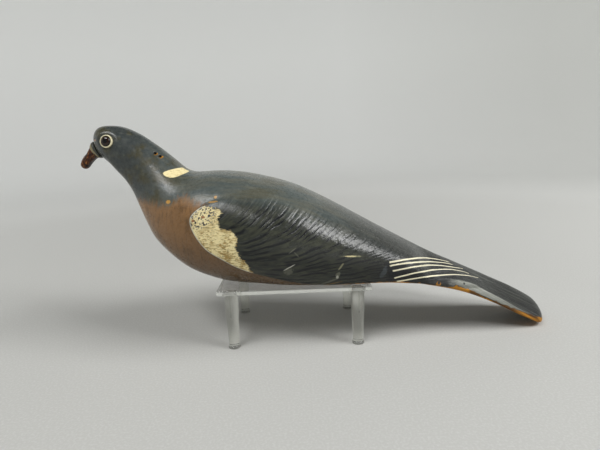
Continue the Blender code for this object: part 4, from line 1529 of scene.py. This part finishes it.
@dataclass
class Eyes:
    """Both glass eyes and their painted rims, in metres."""

    radius: float = 0.00375
    bulge: float = 0.0018
    back: float = 0.00144                 # how far the glass goes into its socket
    seat: float = 0.00024
    foot: float = 0.86                    # the glass's foot, as a share of its radius
    foot_ease: float = 0.0003
    lip: float = 0.0001
    tip: float = 0.02
    dome_rings: int = 12
    rim_inner: float = 0.00405
    rim_outer: float = 0.0051
    rim_front: float = 0.0004
    rim_back: float = -0.0013
    rim_round: float = 0.0004             # how high the rim's front is rounded
    rim_rings: int = 8
    rim_uneven: float = 0.035             # how far the brush left it from round, beyond this radius
    rim_uneven_from: float = 0.0044
    rim_cells: float = 700.0              # its unevenness, for each metre
    turn: float = math.radians(8)         # the eyes look a little forwards and upwards
    tilt: float = math.radians(10)
    glass: EyeGlass = EyeGlass()
    paint: RimPaint = RimPaint()

    def seating(self, side: Side) -> Matrix:
        """Where an eye sits: local Z points out of the head.

        Args:
            side: The eye's side.

        Returns:
            Its place and turn.
        """
        x, y, z = EYE_CENTRE_MM
        outward = Vector((-math.sin(self.turn), side.value * math.cos(self.turn) * math.cos(self.tilt),
                          math.sin(self.tilt))).normalized()
        turn = outward.to_track_quat("Z", "Y").to_matrix().to_4x4()
        return Matrix.Translation(placed(x, side.value * y, z)) @ turn

    def dome(self) -> list[tuple[float, float]]:
        """The glass's profile: a short barrel, a soft edge and a low dome.

        Returns:
            Radius and height of each ring.
        """
        base, bottom = self.seat, self.seat - self.back
        rows = [(self.radius * self.foot, bottom), (self.radius, bottom + self.foot_ease),
                (self.radius, base - self.lip)]
        for k in range(self.dome_rings):
            angle = math.pi / 2 * k / self.dome_rings
            rows.append((self.radius * math.cos(angle), base + self.bulge * math.sin(angle)))
        return rows + [(self.radius * self.tip, base + self.bulge)]

    def hoop(self) -> list[tuple[float, float]]:
        """The rim's profile: a low, rounded ring.

        Returns:
            Radius and height of each ring.
        """
        middle, half = (self.rim_inner + self.rim_outer) / 2, (self.rim_outer - self.rim_inner) / 2
        shoulder = self.rim_front - self.rim_round
        rows = [(self.rim_inner, self.rim_back), (self.rim_inner, shoulder)]
        for k in range(1, self.rim_rings):
            angle = math.pi * (1 - k / self.rim_rings)
            rows.append((middle + half * math.cos(angle), shoulder + self.rim_round * math.sin(angle)))
        return rows + [(self.rim_outer, shoulder), (self.rim_outer, self.rim_back)]

    def roughen(self, rim: Piece, side: Side) -> None:
        """Leave the rim a little out of round.

        Args:
            rim: The rim, before it is seated.
            side: Its side.
        """
        points = points_of(rim)
        spots = np.column_stack([points[:, :2] * self.rim_cells, np.full(len(points), side.value * 5.0)])
        outside = np.hypot(points[:, 0], points[:, 1]) > self.rim_uneven_from
        radial = 1 + self.rim_uneven * unevenness(spots, 1.0) * outside
        move_points(rim, points * np.column_stack([radial, radial, np.ones(len(radial))]))

    def seat_in_head(self, piece: Piece, side: Side, material: Paint) -> None:
        """Mark each vertex's distance from the eye's axis, seat the piece and dress it.

        Args:
            piece: The glass or the rim.
            side: Its side.
            material: Its material.
        """
        points = points_of(piece)
        write_layer(piece, "reach", np.hypot(points[:, 0], points[:, 1]) / MM)
        piece.matrix_world = self.seating(side)
        settle(piece)
        dress(piece, material)

    def build(self) -> list[Piece]:
        """Make both eyes.

        Returns:
            The glasses and the rims.
        """
        glass, paint = self.glass.make(), self.paint.make()
        made = []
        for side in Side:
            word = side.name.lower()
            eye = turned(f"decoy_eye_{word}", self.dome(), 48)
            self.seat_in_head(eye, side, glass)
            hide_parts(f"eye_{word}")
            rim = turned(f"decoy_eye_rim_{word}", self.hoop(), 64, closed=True)
            self.roughen(rim, side)
            self.seat_in_head(rim, side, paint)
            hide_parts(f"eye_rim_{word}")
            made += [eye, rim]
        return made


# ------------------------------------------------------------------ the riser

@dataclass(frozen=True)
class Acrylic:
    """Clear moulded acrylic: water-clear and glossy, its edges catching the light, lightly scuffed.

    Its faces are not quite flat, and wiping has blurred their gloss in patches; the scratches themselves
    are too fine to show. Sizes are in millimetres.
    """

    tint: str = "#f6f7f1"
    clearness: float = 0.90
    top_body: float = 0.42               # how far the scuffed top hides what is below it
    scuff: float = 4.167
    scuff_dulling: float = 0.09
    wave: float = 18.18
    wave_relief: float = 0.05
    roughness: float = 0.03

    def make(self) -> Paint:
        """Write the material. An underside passes the light straight through.

        Returns:
            The material.
        """
        r = Recipe("clear_moulded_acrylic")
        put = r.put
        haze = put("TexNoise", {"Vector": r.here, "Scale": cells(self.scuff), "Detail": 3.0})
        dull = put("MapRange", (haze, 0.45, 0.75, self.roughness, self.roughness + self.scuff_dulling))
        wave = put("TexNoise", {"Vector": r.here, "Scale": cells(self.wave), "Detail": 1.0})
        height = put("Math", (wave, self.wave_relief), operation="MULTIPLY")
        _, _, facing = put("SeparateXYZ", (put("NewGeometry", out="Normal"),)).node.outputs
        under = put("MapRange", (facing, -0.9, -0.6, 0.0, 1.0))
        top = put("MapRange", (facing, 0.7, 0.95, 1.0, self.top_body))
        solid = put("Math", (under, top), operation="MULTIPLY")
        return r.finish(height, Base_Color=self.tint, Roughness=dull, IOR=1.49,
                        Transmission_Weight=self.clearness, Alpha=solid)


@dataclass
class Riser:
    """The display riser: a plate with rounded corners on four tapered legs, in metres."""

    length: float = 0.1196
    width: float = 0.0959
    thickness: float = 0.0040
    corner: float = 0.007
    edge: float = 0.0010
    middle_x: float = -0.0209
    leg_x: tuple[float, float] = (-0.0709, 0.0291)
    leg_y: float = 0.03715
    leg_top: float = 0.0056               # a leg's radius at the plate,
    leg_waist: float = 0.00415            # just above its flange,
    leg_flange: float = 0.0049            # and at the flange
    leg_height: float = 0.0467
    flange_height: float = 0.0022
    leg_ease: float = 0.0005
    leg_rings: int = 6
    crease: float = math.radians(35)
    acrylic: Acrylic = Acrylic()

    def plate(self) -> Piece:
        """A slab with rounded corners and eased edges.

        Returns:
            The plate.
        """
        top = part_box("stand_plate")[1].z
        bpy.ops.object.select_all(action="DESELECT")
        bpy.ops.mesh.primitive_cube_add(size=1.0, location=(self.middle_x, 0, top - self.thickness / 2))
        plate = added("riser_plate")
        plate.scale = (self.length, self.width, self.thickness)
        settle(plate)
        bpy.ops.object.mode_set(mode="EDIT")
        bpy.ops.mesh.select_all(action="DESELECT")
        mesh = bmesh.from_edit_mesh(plate.data)
        for edge in mesh.edges:
            a, b = (v.co for v in edge.verts)
            edge.select_set(abs(a.z - b.z) > self.thickness / 2)
        bpy.ops.mesh.bevel(offset=self.corner, segments=8, affect="EDGES")
        bpy.ops.object.mode_set(mode="OBJECT")
        apply_modifier(plate, "BEVEL", width=self.edge, segments=3, limit_method="ANGLE",
                       angle_limit=math.radians(50))
        return plate

    def leg(self, name: str, x: float, y: float) -> Piece:
        """A solid leg that tapers down to a waist above its small, eased flange.

        Args:
            name: The leg's name.
            x: Its place along the plate.
            y: Its place across the plate.

        Returns:
            The leg.
        """
        ease, flange, waist = self.leg_ease, self.leg_flange, self.leg_waist
        slope = (self.leg_top - waist) / (self.leg_height - self.flange_height)
        profile = [(flange - ease, 0.0), (flange - ease * 0.3, ease * 0.3), (flange, ease),
                   (flange - ease * 0.5, self.flange_height - ease), (waist, self.flange_height)]
        for k in range(1, self.leg_rings + 1):
            rise = (self.leg_height - self.flange_height - ease) * k / self.leg_rings
            profile.append((waist + slope * rise, self.flange_height + rise))
        profile.append((profile[-1][0] - ease * 0.5, self.leg_height))
        leg = turned(name, profile, 40)
        leg.location = (x, y, 0)
        settle(leg)
        return leg

    def build(self) -> list[Piece]:
        """Make the plate and its four legs.

        Returns:
            The five pieces.
        """
        material = self.acrylic.make()
        made = {"stand_plate": self.plate()}
        for end, x in zip(("head_end", "tail_end"), self.leg_x):
            for side in Side:
                place = f"leg_{end}_{side.name.lower()}"
                made["stand_" + place] = self.leg("riser_" + place, x, side.value * self.leg_y)
        for node, piece in made.items():
            dress(piece, material, self.crease)
            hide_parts(node)
        return list(made.values())


# ------------------------------------------------------------------ the studio

@dataclass(frozen=True)
class SeamlessPaper:
    """Matt pale grey paper with painted light: lighter up the wall, shaded in front and to one side, glowing
    a little where it rises behind.
    """

    floor: str = "#c5c5c1"
    # The wall's paint is lighter than the floor's: painted light.
    wall: str = "#dfe0de"
    # Painted shade on the wall towards the tail's side.
    shade: str = "#c2c3be"
    # Painted shade on the paper in front of the decoy.
    front: str = "#a9aaa7"
    tooth: float = 1.5385                # mm
    # How brightly the paper behind the decoy glows: painted light.
    glow: float = 0.17
    roughness: float = 0.9

    def make(self) -> Paint:
        """Write the material.

        Returns:
            The material.
        """
        r = Recipe("matt_background_paper")
        put = r.put
        far = put("VectorMath", (r.here,), out="Value", operation="LENGTH")
        aside, forward, _ = put("SeparateXYZ", (r.here,)).node.outputs
        # In front of the decoy the paper is painted darker: painted shade.
        near = put("MapRange", (forward, -0.5, -1.3), interpolation_type="SMOOTHSTEP")
        tooth = put("TexNoise", {"Vector": r.here, "Scale": cells(self.tooth), "Detail": 2.0})
        # Up the wall the paper is painted lighter, with painted shade towards the tail's side.
        wall = r.over(self.wall, (put("MapRange", (aside, 0.25, 1.15, 0.0, 0.55)), self.shade))
        tone = r.over(self.floor, (put("MapRange", (far, 0.8, 1.8)), wall), (near, self.front),
                      (put("MapRange", (tooth, 0.45, 0.7, 0.0, 0.3)), self.wall))
        # Behind the decoy the paper glows a little: painted light.
        behind = put("MapRange", (forward, -0.6, 0.1), interpolation_type="SMOOTHSTEP")
        lit = put("Math", (put("MapRange", (far, 0.30, 1.0)), behind), operation="MULTIPLY")
        return r.finish(None, Base_Color=tone, Roughness=self.roughness,
                        Emission_Color=r.over("#000000", (lit, wall)), Emission_Strength=self.glow)


@dataclass(frozen=True)
class SoftBox:
    """A rectangular softbox turned towards the decoy."""

    name: str
    bearing: float                    # degrees round from straight in front, to the right
    rise: float                       # degrees above the floor
    distance: float
    size: tuple[float, float]
    power: float

    def put_up(self) -> None:
        """Stand the lamp in the studio, out of the camera's sight."""
        turn, rise = math.radians(self.bearing), math.radians(self.rise)
        away = Vector((math.cos(rise) * math.sin(turn), -math.cos(rise) * math.cos(turn), math.sin(rise)))
        bpy.ops.object.light_add(type="AREA", location=away * self.distance)
        lamp = bpy.context.object
        lamp.name = self.name
        lamp.data.shape = "RECTANGLE"
        lamp.data.size, lamp.data.size_y = self.size
        lamp.data.energy = self.power
        lamp.rotation_euler = away.to_track_quat("Z", "Y").to_euler()
        lamp.visible_camera = False


@dataclass
class Studio:
    """Seamless paper all round, a softbox on each side, and the camera."""

    floor_radius: float = 1.5
    wall_radius: float = 2.1
    wall_height: float = 2.0
    curve_rings: int = 12
    first_radius: float = 0.02
    lamps: tuple[SoftBox, ...] = (
        SoftBox("softbox_tail_end", 70.0, 44.0, 1.95, (0.98, 1.16), 27.0),
        SoftBox("softbox_head_end", -41.0, 55.0, 1.95, (1.0, 0.45), 15.5),
    )
    sky: str = "#eceef0"
    sky_strength: float = 0.01
    camera_place: tuple[float, float, float] = (-0.0143, -0.3624, 0.1614)
    camera_pitch: float = 0.1914
    camera_roll: float = -0.0387
    camera_lens: float = 25.94
    camera_sensor: float = 36.0
    camera_clip: float = 0.01
    paper: SeamlessPaper = SeamlessPaper()

    def backdrop(self) -> None:
        """A round sweep: a flat floor that curves up into a wall."""
        turn = self.wall_radius - self.floor_radius
        profile = [(self.first_radius, 0.0), (self.floor_radius, 0.0)]
        for k in range(1, self.curve_rings + 1):
            angle = math.pi / 2 * k / self.curve_rings
            profile.append((self.floor_radius + turn * math.sin(angle), turn * (1 - math.cos(angle))))
        profile.append((self.wall_radius + 0.02, self.wall_height))
        bpy.ops.object.select_all(action="DESELECT")
        bpy.ops.mesh.primitive_circle_add(vertices=96, radius=self.first_radius, fill_type="NGON")
        paper = added("studio_paper")
        bpy.ops.object.mode_set(mode="EDIT")
        bpy.ops.mesh.select_all(action="SELECT")
        for (r0, z0), (r1, z1) in zip(profile, profile[1:]):
            bpy.ops.mesh.extrude_edges_move(TRANSFORM_OT_translate={"value": (0, 0, z1 - z0)})
            bpy.ops.transform.resize(value=(r1 / r0, r1 / r0, 1.0))
        bpy.ops.object.mode_set(mode="OBJECT")
        settle(paper)
        bpy.ops.object.shade_smooth()
        paper.data.materials.append(self.paper.make())

    def light(self) -> None:
        """The softboxes and an even, dim, pale sky."""
        for lamp in self.lamps:
            lamp.put_up()
        world = bpy.data.worlds.new("studio_sky")
        world.use_nodes = True
        ground = world.node_tree.nodes["Background"]
        ground.inputs["Color"].default_value = linear(self.sky)
        ground.inputs["Strength"].default_value = self.sky_strength
        bpy.context.scene.world = world

    def camera(self) -> None:
        """The camera stands low in front of the decoy's left side."""
        tilt = Matrix.Rotation(math.pi / 2 - self.camera_pitch, 3, "X")
        bpy.ops.object.camera_add(location=self.camera_place)
        camera = bpy.context.object
        camera.name = "studio_camera"
        camera.rotation_euler = (tilt @ Matrix.Rotation(self.camera_roll, 3, "Z")).to_euler()
        camera.data.lens, camera.data.sensor_width = self.camera_lens, self.camera_sensor
        camera.data.clip_start = self.camera_clip
        bpy.context.scene.camera = camera

    def build(self) -> None:
        """Put up the paper, the light and the camera."""
        self.backdrop()
        self.light()
        self.camera()
        bpy.context.scene.view_settings.view_transform = "Standard"


# ------------------------------------------------------------------ the whole

def report(pieces: Sequence[Piece]) -> None:
    """Log each piece with its size.

    Args:
        pieces: The finished pieces.
    """
    for piece in pieces:
        size = ", ".join(f"{s / MM:.1f}" for s in piece.dimensions)
        faces = sum(len(p.vertices) - 2 for p in piece.data.polygons)
        LOG.info("%s: %s mm, %d triangles", piece.name, size, faces)


def main() -> None:
    """Build every sub-assembly in order."""
    logging.basicConfig(level=logging.INFO, format="%(name)s: %(message)s")
    Studio().build()
    report([PaintedCarving().build()])
    report(Bill().build())
    report(Eyes().build())
    report(Riser().build())


if __name__ == "__main__":
    main()
